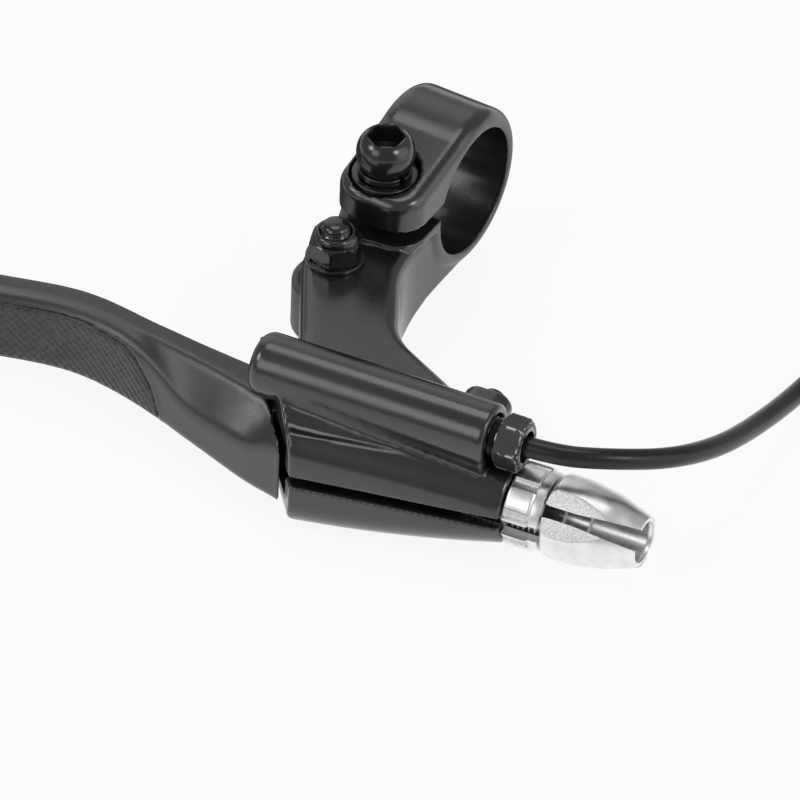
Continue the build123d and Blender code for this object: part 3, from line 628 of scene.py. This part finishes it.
# The grip pad: its outline is given by corners with radii, its front follows the blade, woven at 45 degrees
padLook = {
    "corners": [(-100.0, -5.0), (-13.8, -6.3), (-16.0, -0.5), (-20.2, 4.4), (-30.0, 5.4), (-100.0, 5.2)],
    "rounds": [4.4, 0.6, 3.0, 5.0, 12.0, 4.4],
    "outlineStep": 0.1,
    "sidesMeet": (0.0, -5.9),
    "endGap": 0.02,
    "middleZ": -8.0,
    "stations": 560,
    "rows": 74,
    "probeX": slice(3, -3, 10),
    "probeZ": (-6.2, 5.3, 20),
    "probeStart": -0.2,
    "probeFacing": -0.3,
    "powers": (10, 7),
    "fitMiddle": -57.0,
    "fitHalf": (45.0, 6.4),
    "crownZ": -2.0,
    "sink": 1.25,
    "leastThickness": 0.25,
    "strand": 1.1,
    "strandHeight": 0.24,
    "edgeFade": 0.5,
    "edgeDrop": 0.08,
    "sharp": 60.0,
}


def weave(along, across, strand, narrow=1.9, dive=0.8):
    # Plain weave: strands at 45 degrees pass over and under each other. The height of a strand is round
    # across it and bends down where it dives under its neighbour.
    u = (along + across) / math.sqrt(2) / strand
    v = (along - across) / math.sqrt(2) / strand
    cell = (np.floor(u) + np.floor(v)) % 2
    fu, fv = u % 1 - 0.5, v % 1 - 0.5
    ride, width = np.where(cell > 0, fu, fv), np.where(cell > 0, fv, fu)
    return np.sqrt(np.clip(1 - (narrow * width) ** 2, 0, 1)) * np.cos(math.pi * dive * ride)


def outlineOf(corners, rounds, steps=14):
    # Points of a closed outline with a radius at each corner
    corners = np.array(corners)
    t = np.linspace(0, 1, steps)[:, None]
    line = []
    neighbours = zip(np.roll(corners, 1, 0), corners, np.roll(corners, -1, 0))
    for (before, corner, after), radius in zip(neighbours, rounds):
        back, ahead = before - corner, after - corner
        back, ahead = back / np.linalg.norm(back), ahead / np.linalg.norm(ahead)
        half = math.acos(np.clip(back @ ahead, -1, 1)) / 2
        inward = (back + ahead) / np.linalg.norm(back + ahead)
        middle = corner + inward * radius / math.sin(half)
        start, stop = (corner + way * radius / math.tan(half) - middle for way in (back, ahead))
        turn = math.pi - 2 * half
        arc = (np.sin((1 - t) * turn) * start + np.sin(t * turn) * stop) / math.sin(turn)
        line.append(middle + arc)
    return np.concatenate(line)


def fitFront(x, look):
    # The front of the solid's pad, read at a few places and fitted with powers of x and z
    found = []
    for px in x[look["probeX"]]:
        for pz in np.linspace(*look["probeZ"]):
            start = (px * mm, look["probeStart"], (pz + look["middleZ"]) * mm)
            isHit, spot, normal = nodes["grip_inlay"].ray_cast(start, (0, 1, 0))[:3]
            if isHit and normal.y < look["probeFacing"]:
                found.append((px, pz, spot.y / mm))
    powers = [(i, j) for i in range(look["powers"][0]) for j in range(look["powers"][1])]
    halfX, halfZ = look["fitHalf"]

    def terms(px, pz):
        return np.stack([((px - look["fitMiddle"]) / halfX) ** i * (pz / halfZ) ** j for i, j in powers], -1)

    foundX, foundZ, foundY = np.array(found).T
    weights = np.linalg.lstsq(terms(foundX, foundZ), foundY, rcond=None)[0]
    return lambda px, pz: terms(px, pz) @ weights


def makePad(look):
    outline = outlineOf(look["corners"], look["rounds"])
    outline = refine(np.concatenate([outline, outline[:1]]), look["outlineStep"])
    left, right = outline[:, 0].min(), outline[:, 0].max()
    x = np.linspace(left + look["endGap"], right - look["endGap"], look["stations"])
    isLower = outline[:, 1] < np.interp(outline[:, 0], [left, right], look["sidesMeet"])
    ordered = [side[np.argsort(side[:, 0])] for side in (outline[isLower], outline[~isLower])]
    zLow, zTop = (np.interp(x, side[:, 0], side[:, 1])[:, None] for side in ordered)
    z = zLow + (zTop - zLow) * np.linspace(0, 1, look["rows"])
    wideX = np.repeat(x[:, None], look["rows"], 1)
    frontAt = fitFront(x, look)
    surface = frontAt(wideX, z)
    crown = frontAt(x, np.full_like(x, look["crownZ"]))
    fall = surface - crown[:, None]
    slope = np.gradient(crown, x)
    normal = np.stack([slope, -np.ones_like(slope), np.zeros_like(slope)], 1)
    normal = (normal / np.linalg.norm(normal, axis=1, keepdims=True))[:, None, :]
    run = np.r_[0, np.cumsum(np.hypot(np.diff(x), np.diff(crown)))][:, None]
    margin = np.minimum(np.minimum(z - zLow, zTop - z), np.minimum(x - left, right - x)[:, None])
    fade = np.clip(margin / look["edgeFade"], 0, 1)
    height = look["strandHeight"] * (weave(run, z, look["strand"]) * fade - 1) - look["edgeDrop"] * (1 - fade)
    front = np.stack([wideX, surface, z + look["middleZ"]], -1) + height[..., None] * normal
    back = front - np.maximum(look["sink"] + height - fall, look["leastThickness"])[..., None] * normal
    return thickSheet("gripPad", front * mm, back * mm, look["sharp"])


gripPad = makePad(padLook)
place(gripPad, "lever", "grip_pad", plain["gripPad"], "grip_inlay")

# The clamp bolt: rounded head, hexagon socket, threaded shank
clampBoltLook = {
    "head": [(12.1, 3.0), (12.1, 4.1), (12.9, 4.45), (13.7, 4.78), (14.6, 4.9), (15.6, 4.86), (16.5, 4.66),
             (17.3, 4.24), (17.9, 3.72), (18.3, 3.2)],
    "headRound": 0.5,
    "socket": 2.7,
    "socketTurn": 0.3,
    "socketRim": [(18.25, 0.16), (18.05, 0.03), (17.8, 0.0), (14.9, 0.0)],
    "floor": [(14.75, 2.3), (14.5, 1.2)],
    "shank": 3.0,
    "shankEnd": -11.0,
    "taper": {"length": 0.6, "depth": 0.5},
    "pitch": 1.0,
    "threadDepth": 0.5,
    "step": 0.12,
    "segments": 144,
    "sharp": 32.0,
}


def makeClampBolt(look):
    angle = around(look["segments"])
    z = np.arange(look["shankEnd"], look["head"][0][0], look["step"])
    ends = np.clip((z - look["shankEnd"]) / look["taper"]["length"], 0, 1)[:, None]
    shank = look["shank"] - look["threadDepth"] * threadWave(z, look["pitch"], angle)
    shank -= look["taper"]["depth"] * (1 - ends)
    head = refine(rounded(look["head"], look["headRound"], steps=5), look["step"])
    rim = np.array(look["socketRim"])
    hexes = hexRadius(angle, look["socket"], math.radians(look["socketTurn"])) + rim[:, 1:]
    floor = np.array(look["floor"])
    height = np.concatenate([z, head[:, 0], rim[:, 0], floor[:, 0]])
    radius = np.concatenate([shank, spun(head, angle), hexes, spun(floor, angle)])
    return skin("clampBolt", turned(clampAxis, height, radius, angle), sharp=look["sharp"])


clampBolt = makeClampBolt(clampBoltLook)
place(clampBolt, "bracket", "black_steel", blackSteel, "clamp_bolt")

# Washers under its head: a split spring washer on a plain one
washerLook = {
    "plain": {"inner": 3.15, "outer": 5.5, "low": 9.4, "high": 10.6, "edge": 0.25},
    "split": {"inner": 3.15, "outer": 4.5, "low": 10.62, "thickness": 1.15, "rise": 0.3, "edge": 0.22,
              "gap": 14.0, "turn": -20.0},
    "segments": 128,
}


def makeFlatWasher(name, axis, look, segments):
    i, o, low, high = look["inner"], look["outer"], look["low"], look["high"]
    middle = (low + high) / 2
    loop = [(middle, i), (low, i), (low, o), (high, o), (high, i), (middle, i)]
    line = rounded(loop, look["edge"], steps=5)[:-1]
    return skin(name, turned(axis, line[:, 0], line[:, 1:], around(segments)), loop=True)


def makeSplitWasher(look, segments):
    # A rounded section carried round the bolt on a slowly rising path, with a gap between its ends
    gap = math.radians(look["gap"])
    turn = math.radians(look["turn"])
    angle = np.linspace(turn + gap / 2, turn + 2 * math.pi - gap / 2, segments)
    i, o, t = look["inner"], look["outer"], look["thickness"]
    loop = [(i, t / 2), (i, 0), (o, 0), (o, t), (i, t), (i, t / 2)]
    section = rounded(loop, look["edge"], steps=5)[:-1]
    rise = look["low"] + look["rise"] * np.linspace(0, 1, segments)
    origin, along, side, up = clampAxis
    out = np.cos(angle)[:, None] * side + np.sin(angle)[:, None] * up
    height = (rise[:, None] + section[:, 1])[..., None]
    rings = origin + height * along + section[:, 0][:, None] * out[:, None, :]
    return skin("clampSpringWasher", rings * mm)


place(makeFlatWasher("clampWasher", clampAxis, washerLook["plain"], washerLook["segments"]), "bracket",
      "black_steel", blackSteel, "clamp_washer")
place(makeSplitWasher(washerLook["split"], washerLook["segments"]), "bracket",
      "black_steel", blackSteel, "clamp_spring_washer")

# The pivot's nut, washer and bolt
pivotLook = {
    "washer": {"inner": 2.6, "outer": 4.9, "low": 1.0, "high": 1.8, "edge": 0.2},
    "nut": (1.8, 5.6),
    "nutSteps": ((0.0, 0.08), (0.2, 0.45, 14), (0.25, 0.1, 0.0)),
    "nutFlat": 4.0,
    "nutTurn": 18.0,
    "nutChamfer": 0.32,
    "nutSlope": 1.9,
    "nutFootLift": 0.18,
    "nutSharp": 30.0,
    "collar": [(5.6, 3.75), (6.3, 3.7), (6.9, 3.25), (6.9, 2.85)],
    "collarRound": 0.45,
    "collarStep": 0.15,
    "hole": [(6.75, 2.66), (6.6, 2.6), (1.9, 2.6)],
    "bolt": 2.5,
    "boltPitch": 0.8,
    "boltDepth": 0.32,
    "boltStart": 1.0,
    "boltStep": 0.07,
    "boltTaper": {"length": 0.5, "depth": 0.25},
    "boltShank": [(-15.0, 2.48), (0.8, 2.48)],
    "boltTip": [(7.9, 2.3), (8.25, 2.05), (8.5, 1.6), (8.64, 1.1), (8.7, 0.4)],
    "boltTipRound": 0.2,
    "boltSharp": 32.0,
    "head": [(-18.4, 1.9), (-18.4, 3.9), (-18.0, 4.25), (-15.4, 4.25), (-15.4, 2.45)],
    "headRound": 0.3,
    "headStep": 0.3,
    "socket": 1.5,
    "socketRim": [(1.8, 0.0), (0.15, 0.0), (0.0, 0.12)],
    "segments": 144,
}


def makeNut(look):
    # A hexagon whose corners are turned off by a cone at both ends, with a round collar on top
    angle = around(look["segments"])
    low, high = look["nut"]
    hexes = hexRadius(angle, look["nutFlat"], math.radians(look["nutTurn"]))
    z = hexSteps(low, high, look["nutSteps"])
    cone = hexCone(z, low, high, look["nutFlat"] - look["nutChamfer"], look["nutSlope"])
    cone = np.where(z < (low + high) / 2, cone + look["nutFootLift"], cone)
    body = np.minimum(hexes, cone[:, None])
    collar = refine(rounded(look["collar"], look["collarRound"]), look["collarStep"])
    extra = np.concatenate([collar, look["hole"]])
    height = np.concatenate([z, extra[:, 0]])
    radius = np.concatenate([body, spun(extra, angle)])
    return skin("pivotNut", turned(pivotAxis, height, radius, angle), loop=True, sharp=look["nutSharp"])


def makePivotBolt(look):
    angle = around(look["segments"])
    head = refine(rounded(look["head"], look["headRound"], steps=5), look["headStep"])
    rim = np.array(look["socketRim"])
    socket = hexRadius(angle, look["socket"], 0.0) + rim[:, 1:]
    shank = np.array(look["boltShank"])
    end = look["boltTip"][0][0]
    z = np.arange(look["boltStart"], end, look["boltStep"])
    fade = np.clip((end - z) / look["boltTaper"]["length"], 0, 1)[:, None]
    thread = look["bolt"] - look["boltDepth"] * threadWave(z, look["boltPitch"], angle)
    thread -= look["boltTaper"]["depth"] * (1 - fade)
    tip = rounded(look["boltTip"], look["boltTipRound"], steps=5)
    height = np.concatenate([look["head"][0][0] + rim[:, 0], head[:, 0], shank[:, 0], z, tip[:, 0]])
    radius = np.concatenate([socket, spun(head, angle), spun(shank, angle), thread, spun(tip, angle)])
    return skin("pivotBolt", turned(pivotAxis, height, radius, angle), sharp=look["boltSharp"])


place(makeNut(pivotLook), "bracket", "black_steel", blackSteel, "pivot_nut")
place(makeFlatWasher("pivotWasher", pivotAxis, pivotLook["washer"], pivotLook["segments"]), "bracket",
      "black_steel", blackSteel, "pivot_washer")
place(makePivotBolt(pivotLook), "bracket", "black_steel", blackSteel, "pivot_bolt")

# The gland: thread in the housing, neck, chamfered hexagon and a hollow mouth round the lead
glandShape = {
    "rise": 12.0,
    "thread": (-10.3, -5.6, 3.85, 1.0, 0.4),
    "neck": (-5.3, -3.1, 3.35, 0.75, 0.28),
    "threadStep": 0.09,
    "hex": (-3.1, 1.5),
    "hexSteps": ((0.0, 0.06, 0.2), (0.4, 0.5, 18), (0.3, 0.15, 0.05, 0.0)),
    "flat": 4.0,
    "turn": 40.0,
    "chamfer": 0.34,
    "slope": 1.7,
    "cornerWear": {"height": 0.62, "power": 8},
    "coneWear": 0.16,
    "rimWear": {"rings": 2, "level": 0.6},
    "mouth": [(1.5, 2.75), (1.2, 2.7), (-0.1, 2.62), (-0.15, 2.0), (-0.5, 1.85), (-2.5, 1.85), (-2.5, 0.6)],
    "mouthRound": 0.25,
    "mouthStep": 0.25,
    "segments": 180,
    "sharp": 28.0,
}


def makeGland(look):
    angle = around(look["segments"])
    origin, along, side, up = cableAxis
    axis = (origin + look["rise"] * up, along, side, up)
    heights, radii = [], []
    for start, stop, radius, pitch, depth in (look["thread"], look["neck"]):
        x = np.arange(start, stop, look["threadStep"])
        heights.append(x)
        radii.append(radius - depth * threadWave(x, pitch, angle))
    low, high = look["hex"]
    hexes = hexRadius(angle, look["flat"], math.radians(look["turn"]))
    x = hexSteps(low, high, look["hexSteps"])
    cone = hexCone(x, low, high, look["flat"] - look["chamfer"], look["slope"])[:, None]
    mouth = refine(rounded(look["mouth"], look["mouthRound"], steps=5), look["mouthStep"])
    first = sum(len(part) for part in heights)
    heights += [x, mouth[:, 0]]
    radii += [np.minimum(hexes, cone), spun(mouth, angle)]
    rings = turned(axis, np.concatenate(heights), np.concatenate(radii), angle)
    piece = skin("switchGland", rings, sharp=look["sharp"])
    # worn along the six corners, where cone and flats meet, and round the mouth's rim
    corner, rim = look["cornerWear"], look["rimWear"]
    cornerWear = np.clip((hexes - look["flat"]) / corner["height"], 0, 1) ** corner["power"]
    coneWear = np.clip(1 - np.abs(cone - hexes) / look["coneWear"], 0, 1)
    last = first + len(x)
    worn = np.zeros(rings.shape[:2])
    worn[first:last] = np.maximum(cornerWear, coneWear)
    worn[last:last + rim["rings"]] = rim["level"]
    mark(piece, "edgeWear", np.r_[0, worn.ravel(), 0])
    return piece


place(makeGland(glandShape), "bracket", "black_gland", chippedBlack, "switch_gland")

# The lock ring: eight lobes with rough grooves between, a collar, a slot down to the thread
ringLook = {
    "lobes": (0.3, 4.9, 7.1),
    "faceWidth": 1.0,
    "edge": 0.43,
    "edgeSteps": 7,
    "sideGap": 0.2,
    "sideSteps": 12,
    "collar": (4.9, 6.5, 6.6),
    "collarFoot": 0.05,
    "collarEdge": [(0.3, 0.0), (0.1, 0.08), (0.0, 0.3)],
    "inner": 4.98,
    "boreEdge": 0.3,
    "slot": 2.9,
    "slotAngle": 0.0,
    "grooves": 8,
    "grooveHalf": 0.95,
    "grooveDepth": 0.62,
    "grooveCurve": (2.4, 0.6),
    "grooveReach": 1.2,
    "grooveFloor": 0.1,
    "shoulder": 0.16,
    "crown": 0.45,
    "grooveGrain": 1.6,
    "boreGrain": 0.4,
    "segments": 720,
    "sharp": 35.0,
}


def slotSpan(radius, slot, middle, segments, most=0.99):
    # Angles that leave out a slot with parallel walls: its half angle at each radius has the sine
    # slot / 2 / radius
    gap = np.arcsin(np.clip(slot / 2 / radius, 0, most))
    share = np.linspace(0, 1, segments)
    return middle + gap[..., None] + (2 * math.pi - 2 * gap[..., None]) * share


def ringProfile(look):
    # Heights and radii over the outside: face, rounded edge, side, rounded edge, collar, face
    start, stop, radius = look["lobes"]
    low, high, collar = look["collar"]
    edge, bore = look["edge"], look["inner"] + look["boreEdge"]
    t = np.linspace(0, math.pi / 2, look["edgeSteps"])
    inset, edgeRadius = edge * (1 - np.sin(t)), radius - edge * (1 - np.cos(t))
    side = np.linspace(start + edge + look["sideGap"], stop - edge - look["sideGap"], look["sideSteps"])
    return np.concatenate(
        [
            [(start, bore), (start, radius - look["faceWidth"])],
            np.stack([start + inset, edgeRadius], 1)[::-1],
            np.stack([side, np.full(len(side), radius)], 1),
            np.stack([stop - inset, edgeRadius], 1),
            [(low, collar), (low + look["collarFoot"], collar)],
            [(high - down, collar - inward) for down, inward in look["collarEdge"]],
            [(high, bore)],
        ]
    )


def makeRing(look):
    stop, radius = look["lobes"][1:]
    collar = look["collar"][2]
    mid = math.radians(look["slotAngle"])
    profile = ringProfile(look)
    height, base = profile[:, 0], profile[:, 1:]
    angle = slotSpan(profile[:, 1], look["slot"], mid, look["segments"])
    step = 2 * math.pi / look["grooves"]
    off = (angle - mid) % step - step / 2
    lobed = (height[:, None] < stop) | (base > collar)
    flank, floor = look["grooveCurve"]
    groove = np.clip(1 - np.abs(off * base / look["grooveHalf"]) ** flank, 0, 1) ** floor
    groove *= lobed & (base > radius - look["grooveReach"])
    dip = np.minimum(groove * look["grooveDepth"], np.maximum(base - collar + look["grooveFloor"], 0))
    # the crown of each lobe stays round, its shoulders fall off a little towards the grooves
    shoulder = look["shoulder"] * np.clip(1 - np.abs(off) / (step / 2) - look["crown"], 0, 1) * lobed
    inner = np.full(len(height), look["inner"])
    innerAngle = slotSpan(inner, look["slot"], mid, look["segments"])
    front = turned(cableAxis, height, base - dip - shoulder, angle)
    back = turned(cableAxis, height, inner[:, None], innerAngle)
    piece = thickSheet("lockRing", front, back, look["sharp"])
    grain = np.clip(groove * look["grooveGrain"], 0, 1)
    mark(piece, "grain", np.r_[grain.ravel(), np.full(grain.size, look["boreGrain"])])
    return piece


place(makeRing(ringLook), "lock_ring", "bright_alloy", brightAlloy, "lock_ring")

# The adjuster: threaded end, barrel with two flats that run out towards its nose, stepped bore, cable slot
adjusterLook = {
    "thread": (-8.0, 6.75, 4.9, 1.0, 0.55),
    "threadStep": 0.11,
    "threadTaper": {"length": 0.7, "depth": 0.5},
    "undercut": (0.02, 0.2),
    "outer": [(6.8, 6.1), (7.2, 6.75), (7.8, 7.1), (11.8, 7.1), (17.3, 6.204), (22.8, 4.3)],
    "outerRound": 1.2,
    "outerStep": 0.2,
    "tip": [(22.7, 4.22), (22.8, 4.0), (22.8, 3.75), (22.7, 3.55)],
    "bore": [(-8.0, 1.3), (8.2, 1.3), (8.25, 2.2), (12.5, 2.2), (12.55, 3.15), (22.2, 3.15), (22.8, 3.45)],
    "flat": 5.95,
    "flatStart": 6.78,
    "flatLeast": 0.004,
    "flatCosine": 0.1,
    "slot": ((6.0, 2.3), (12.5, 2.4), (22.8, 3.6)),
    "slotAngle": 42.0,
    "segments": 220,
    "sharp": 35.0,
}


def makeAdjuster(look):
    start, stop, radius, pitch, depth = look["thread"]
    mid = math.radians(look["slotAngle"])
    nose = refine(rounded(look["outer"], look["outerRound"], steps=8), look["outerStep"])
    tip = np.array(look["tip"])
    threadX = np.arange(start, stop, look["threadStep"])
    gap, drop = look["undercut"]
    x = np.r_[threadX, stop + gap, nose[:, 0], tip[:, 0]]
    base = np.r_[np.full(len(threadX), radius), radius - drop, nose[:, 1], tip[:, 1]]
    slot = np.interp(x, *zip(*look["slot"]))
    angle = slotSpan(base, slot, mid, look["segments"])
    taper = look["threadTaper"]
    ends = taper["depth"] * np.clip(1 - (x - start) / taper["length"], 0, 1)[:, None]
    isThread = (np.arange(len(x)) < len(threadX))[:, None]
    reach = base[:, None] - isThread * (depth * threadWave(x, pitch, angle) + ends)
    flats = look["flat"] / np.maximum(np.abs(np.cos(angle - mid)), look["flatCosine"])
    isFlat = ~isThread & (x[:, None] > look["flatStart"]) & (flats < reach - look["flatLeast"])
    reach = np.where(isFlat, flats, reach)
    inner = np.interp(x, *zip(*look["bore"]))
    innerAngle = slotSpan(inner, slot, mid, look["segments"])
    front = turned(cableAxis, x, reach, angle)
    back = turned(cableAxis, x, inner[:, None], innerAngle)
    piece = thickSheet("barrelAdjuster", front, back, look["sharp"])
    mark(piece, "grain", np.r_[isFlat.ravel(), np.zeros(isFlat.size)])
    return piece


place(makeAdjuster(adjusterLook), "adjuster", "bright_alloy", brightAlloy, "barrel_adjuster")

# The lead, from its seat in the gland in one bend past the clamp to the plug
leadLook = {
    "diameter": 0.0035,
    "length": 0.1256,
    "roundSteps": 8,
    "lengthSteps": 24,
    "order": 3,
    "points": [
        (0.0468107, -0.0564309, 0.004),
        (0.0553739, -0.0556365, 0.004),
        (0.0634, -0.0512, 0.0036),
        (0.0700, -0.0430, 0.0008),
        (0.0722, -0.0306, -0.0046),
        (0.0719, -0.0165, -0.0100),
        (0.0710, -0.0005, -0.0149),
        (0.0706, 0.0140, -0.0167),
        (0.0765, 0.0260, -0.0166),
        (0.0880, 0.0325, -0.0150),
        (0.0985, 0.0365, -0.0146),
    ],
}


def makeLead(look):
    curve = bpy.data.curves.new("switchLead", "CURVE")
    curve.dimensions = "3D"
    curve.bevel_depth = look["diameter"] / 2
    curve.bevel_resolution = look["roundSteps"]
    curve.resolution_u = look["lengthSteps"]
    curve.use_fill_caps = True
    spline = curve.splines.new("NURBS")
    spline.points.add(len(look["points"]) - 1)
    spline.points.foreach_set("co", [value for point in look["points"] for value in (*point, 1.0)])
    spline.order_u = look["order"]
    spline.use_endpoint_u = True
    return newObject("switchLead", curve)


# The plug at its end: a ribbed relief that swells into a round body with a grip, and a deep socket
plugLook = {
    "along": (0.933896, 0.35577, 0.035577),
    "outer": [(0.0, 2.3), (0.15, 2.6), (4.6, 3.6), (5.4, 4.0), (19.6, 4.0), (20.0, 3.7)],
    "outerRound": 0.4,
    "outerStep": 0.12,
    "socket": [(20.0, 3.2), (19.8, 3.0), (12.0, 3.0), (12.0, 1.0)],
    "socketRound": 0.2,
    "socketStep": 0.5,
    "ribs": (0.8, 4.4, 0.9, 0.35),
    "grip": (7.0, 15.0, 16, 0.22),
    "gripEase": 0.6,
    "segments": 128,
}


def makePlug(look):
    along = np.array(look["along"])
    side = np.cross(along, upward)
    side /= np.linalg.norm(side)
    axis = (np.array(leadLook["points"][-1]) / mm, along, side, np.cross(side, along))
    angle = around(look["segments"])
    line = refine(rounded(look["outer"], look["outerRound"], steps=5), look["outerStep"])
    start, stop, pitch, depth = look["ribs"]
    inRibs = (line[:, 0] > start) & (line[:, 0] < stop)
    line[:, 1] -= inRibs * depth * (0.5 - 0.5 * np.cos(2 * math.pi * (line[:, 0] - start) / pitch))
    start, stop, count, depth = look["grip"]
    inside = np.minimum(line[:, 0] - start, stop - line[:, 0])
    ease = np.clip(inside / look["gripEase"], 0, 1)[:, None]
    grooves = depth * ease * np.clip(np.cos(count * angle), 0, 1) ** 2
    socket = refine(rounded(look["socket"], look["socketRound"], steps=4), look["socketStep"])
    height = np.r_[line[:, 0], socket[:, 0]]
    radius = np.concatenate([line[:, 1:] - grooves, spun(socket, angle)])
    return skin("leadPlug", turned(axis, height, radius, angle))


switchLead = makeLead(leadLook)
place(switchLead, "bracket", "lead_jacket", plain["leadJacket"], "switch_lead")
leadPlug = makePlug(plugLook)
place(leadPlug, "bracket", "switch_plastic", plain["switchPlastic"], "lead_plug")
print("lead made")

# Small pieces whose solid already has the right shape only get their finish
kept = {
    "return_spring": "springSteel",
    "switch_magnet": "springSteel",
    "pivot_bush_upper": "bushNylon",
    "pivot_bush_lower": "bushNylon",
    "switch_capsule": "switchPlastic",
    "pivot_nut_insert": "switchPlastic",
    "switch_grommet": "sealRubber",
    "plug_pins": "pinBrass",
}
for nodeName, finishName in kept.items():
    nodes[nodeName].data.materials[0] = plain[finishName]
nodes["gland_lock_screw"].data.materials[0] = blackSteel
print("finishes set on", len(kept) + 1, "small pieces")

# Floor, world and lamps
stageLook = {
    "floorZ": cadBox[0][2],
    "floorSize": 40.0,
    "floorShare": 0.10,
    "floorColour": 0.8,
    "floorRough": 0.9,
    # painted shadow on the floor as seen in reflections: its middle, the radii over which it fades, and the
    # floor's glow inside and outside it
    "paintedShadowSpot": (-0.10, 0.05, 0.0),
    "paintedShadowFade": (0.092, 0.135),
    "floorGlow": (0.12, 1.12),
    "base": 0.40,
    "panels": {
        "backLeft": {"side": (-0.62, 0.62, 0.48), "inner": 12.0, "outer": 28.0, "level": 0.75},
        "front": {"side": (-0.28, -0.80, 0.53), "inner": 6.0, "outer": 19.0, "level": 2.3},
        "right": {"side": (0.95, 0.2, 0.25), "inner": 16.0, "outer": 34.0, "level": 1.3},
    },
}


def mixShaders(tree, share, first, second):
    mix = addNode(tree, "ShaderNodeMixShader")
    for socket, output in zip(mix.inputs, (share, first, second)):
        tree.links.new(output, socket)
    return mix.outputs[0]


def makeFloor(look):
    half = look["floorSize"] / 2
    z = look["floorZ"]
    mesh = bpy.data.meshes.new("floor")
    corners = [(-half, -half, z), (half, -half, z), (half, half, z), (-half, half, z)]
    mesh.from_pydata(corners, [], [(0, 1, 2, 3)])
    floor = newObject("floor", mesh)
    finish, tree, shader = newFinish("paleFloor")
    shader.inputs["Base Color"].default_value = (*(look["floorColour"],) * 3, 1)
    shader.inputs["Roughness"].default_value = look["floorRough"]
    path = addNode(tree, "ShaderNodeLightPath").outputs
    glow = addNode(tree, "ShaderNodeEmission")
    share = multiply(tree, path["Is Camera Ray"], 1 - look["floorShare"])
    seen = mixShaders(tree, share, shader.outputs[0], glow.outputs[0])
    # in reflections the floor glows bright, except for a painted shadow: a dark spot behind and to the left
    # of the object, standing in for its shade on the floor there
    away = addNode(tree, "ShaderNodeVectorMath", {1: look["paintedShadowSpot"]}, operation="DISTANCE")
    tree.links.new(objectCoords(tree, (1, 1, 0)), away.inputs[0])
    shine = addNode(tree, "ShaderNodeEmission")
    strength = spread(tree, away.outputs["Value"], *look["floorGlow"], *look["paintedShadowFade"])
    tree.links.new(strength, shine.inputs["Strength"])
    both = mixShaders(tree, path["Is Glossy Ray"], seen, shine.outputs[0])
    tree.links.new(both, tree.nodes["Material Output"].inputs[0])
    mesh.materials.append(finish)


def makeWorld(look):
    # Dim surroundings with soft bright panels, each a cone of directions that fades out at its edge
    world = bpy.data.worlds.new("studio")
    world.use_nodes = True
    tree = world.node_tree
    sky = tree.nodes["Background"]
    coords = addNode(tree, "ShaderNodeTexCoord").outputs["Generated"]
    path = addNode(tree, "ShaderNodeLightPath")
    total = path.outputs["Is Camera Ray"]
    for panel in look["panels"].values():
        side = Vector(panel["side"]).normalized()
        toward = addNode(tree, "ShaderNodeVectorMath", {1: side}, operation="DOT_PRODUCT")
        tree.links.new(coords, toward.inputs[0])
        rims = (math.cos(math.radians(panel[rim])) for rim in ("outer", "inner"))
        base = look["base"] / len(look["panels"])
        level = spread(tree, toward.outputs["Value"], base, panel["level"], *rims, course="SMOOTHSTEP")
        total = add(tree, total, level)
    tree.links.new(total, sky.inputs["Strength"])
    sky.inputs["Color"].default_value = (1, 1, 1, 1)
    scene.world = world


lamps = {
    "overhead": {"place": (-0.2, 0.2, 1.1), "size": 0.6, "power": 2.0},
    "leftFront": {"place": (-0.6, -0.5, 0.62), "size": 0.3, "power": 1.6},
    "rightFront": {"place": (0.752, -0.146, 0.643), "size": 0.3, "power": 1.6},
}


def makeLamp(name, lamp):
    data = bpy.data.lights.new(name, "AREA")
    data.shape = "DISK"
    data.size = lamp["size"]
    data.energy = lamp["power"]
    thing = newObject(name, data)
    thing.location = lamp["place"]
    thing.rotation_mode = "QUATERNION"
    thing.rotation_quaternion = Vector(lamp["place"]).to_track_quat("Z", "Y")


makeFloor(stageLook)
makeWorld(stageLook)
for lampName, lamp in lamps.items():
    makeLamp(lampName, lamp)
print("stage set")
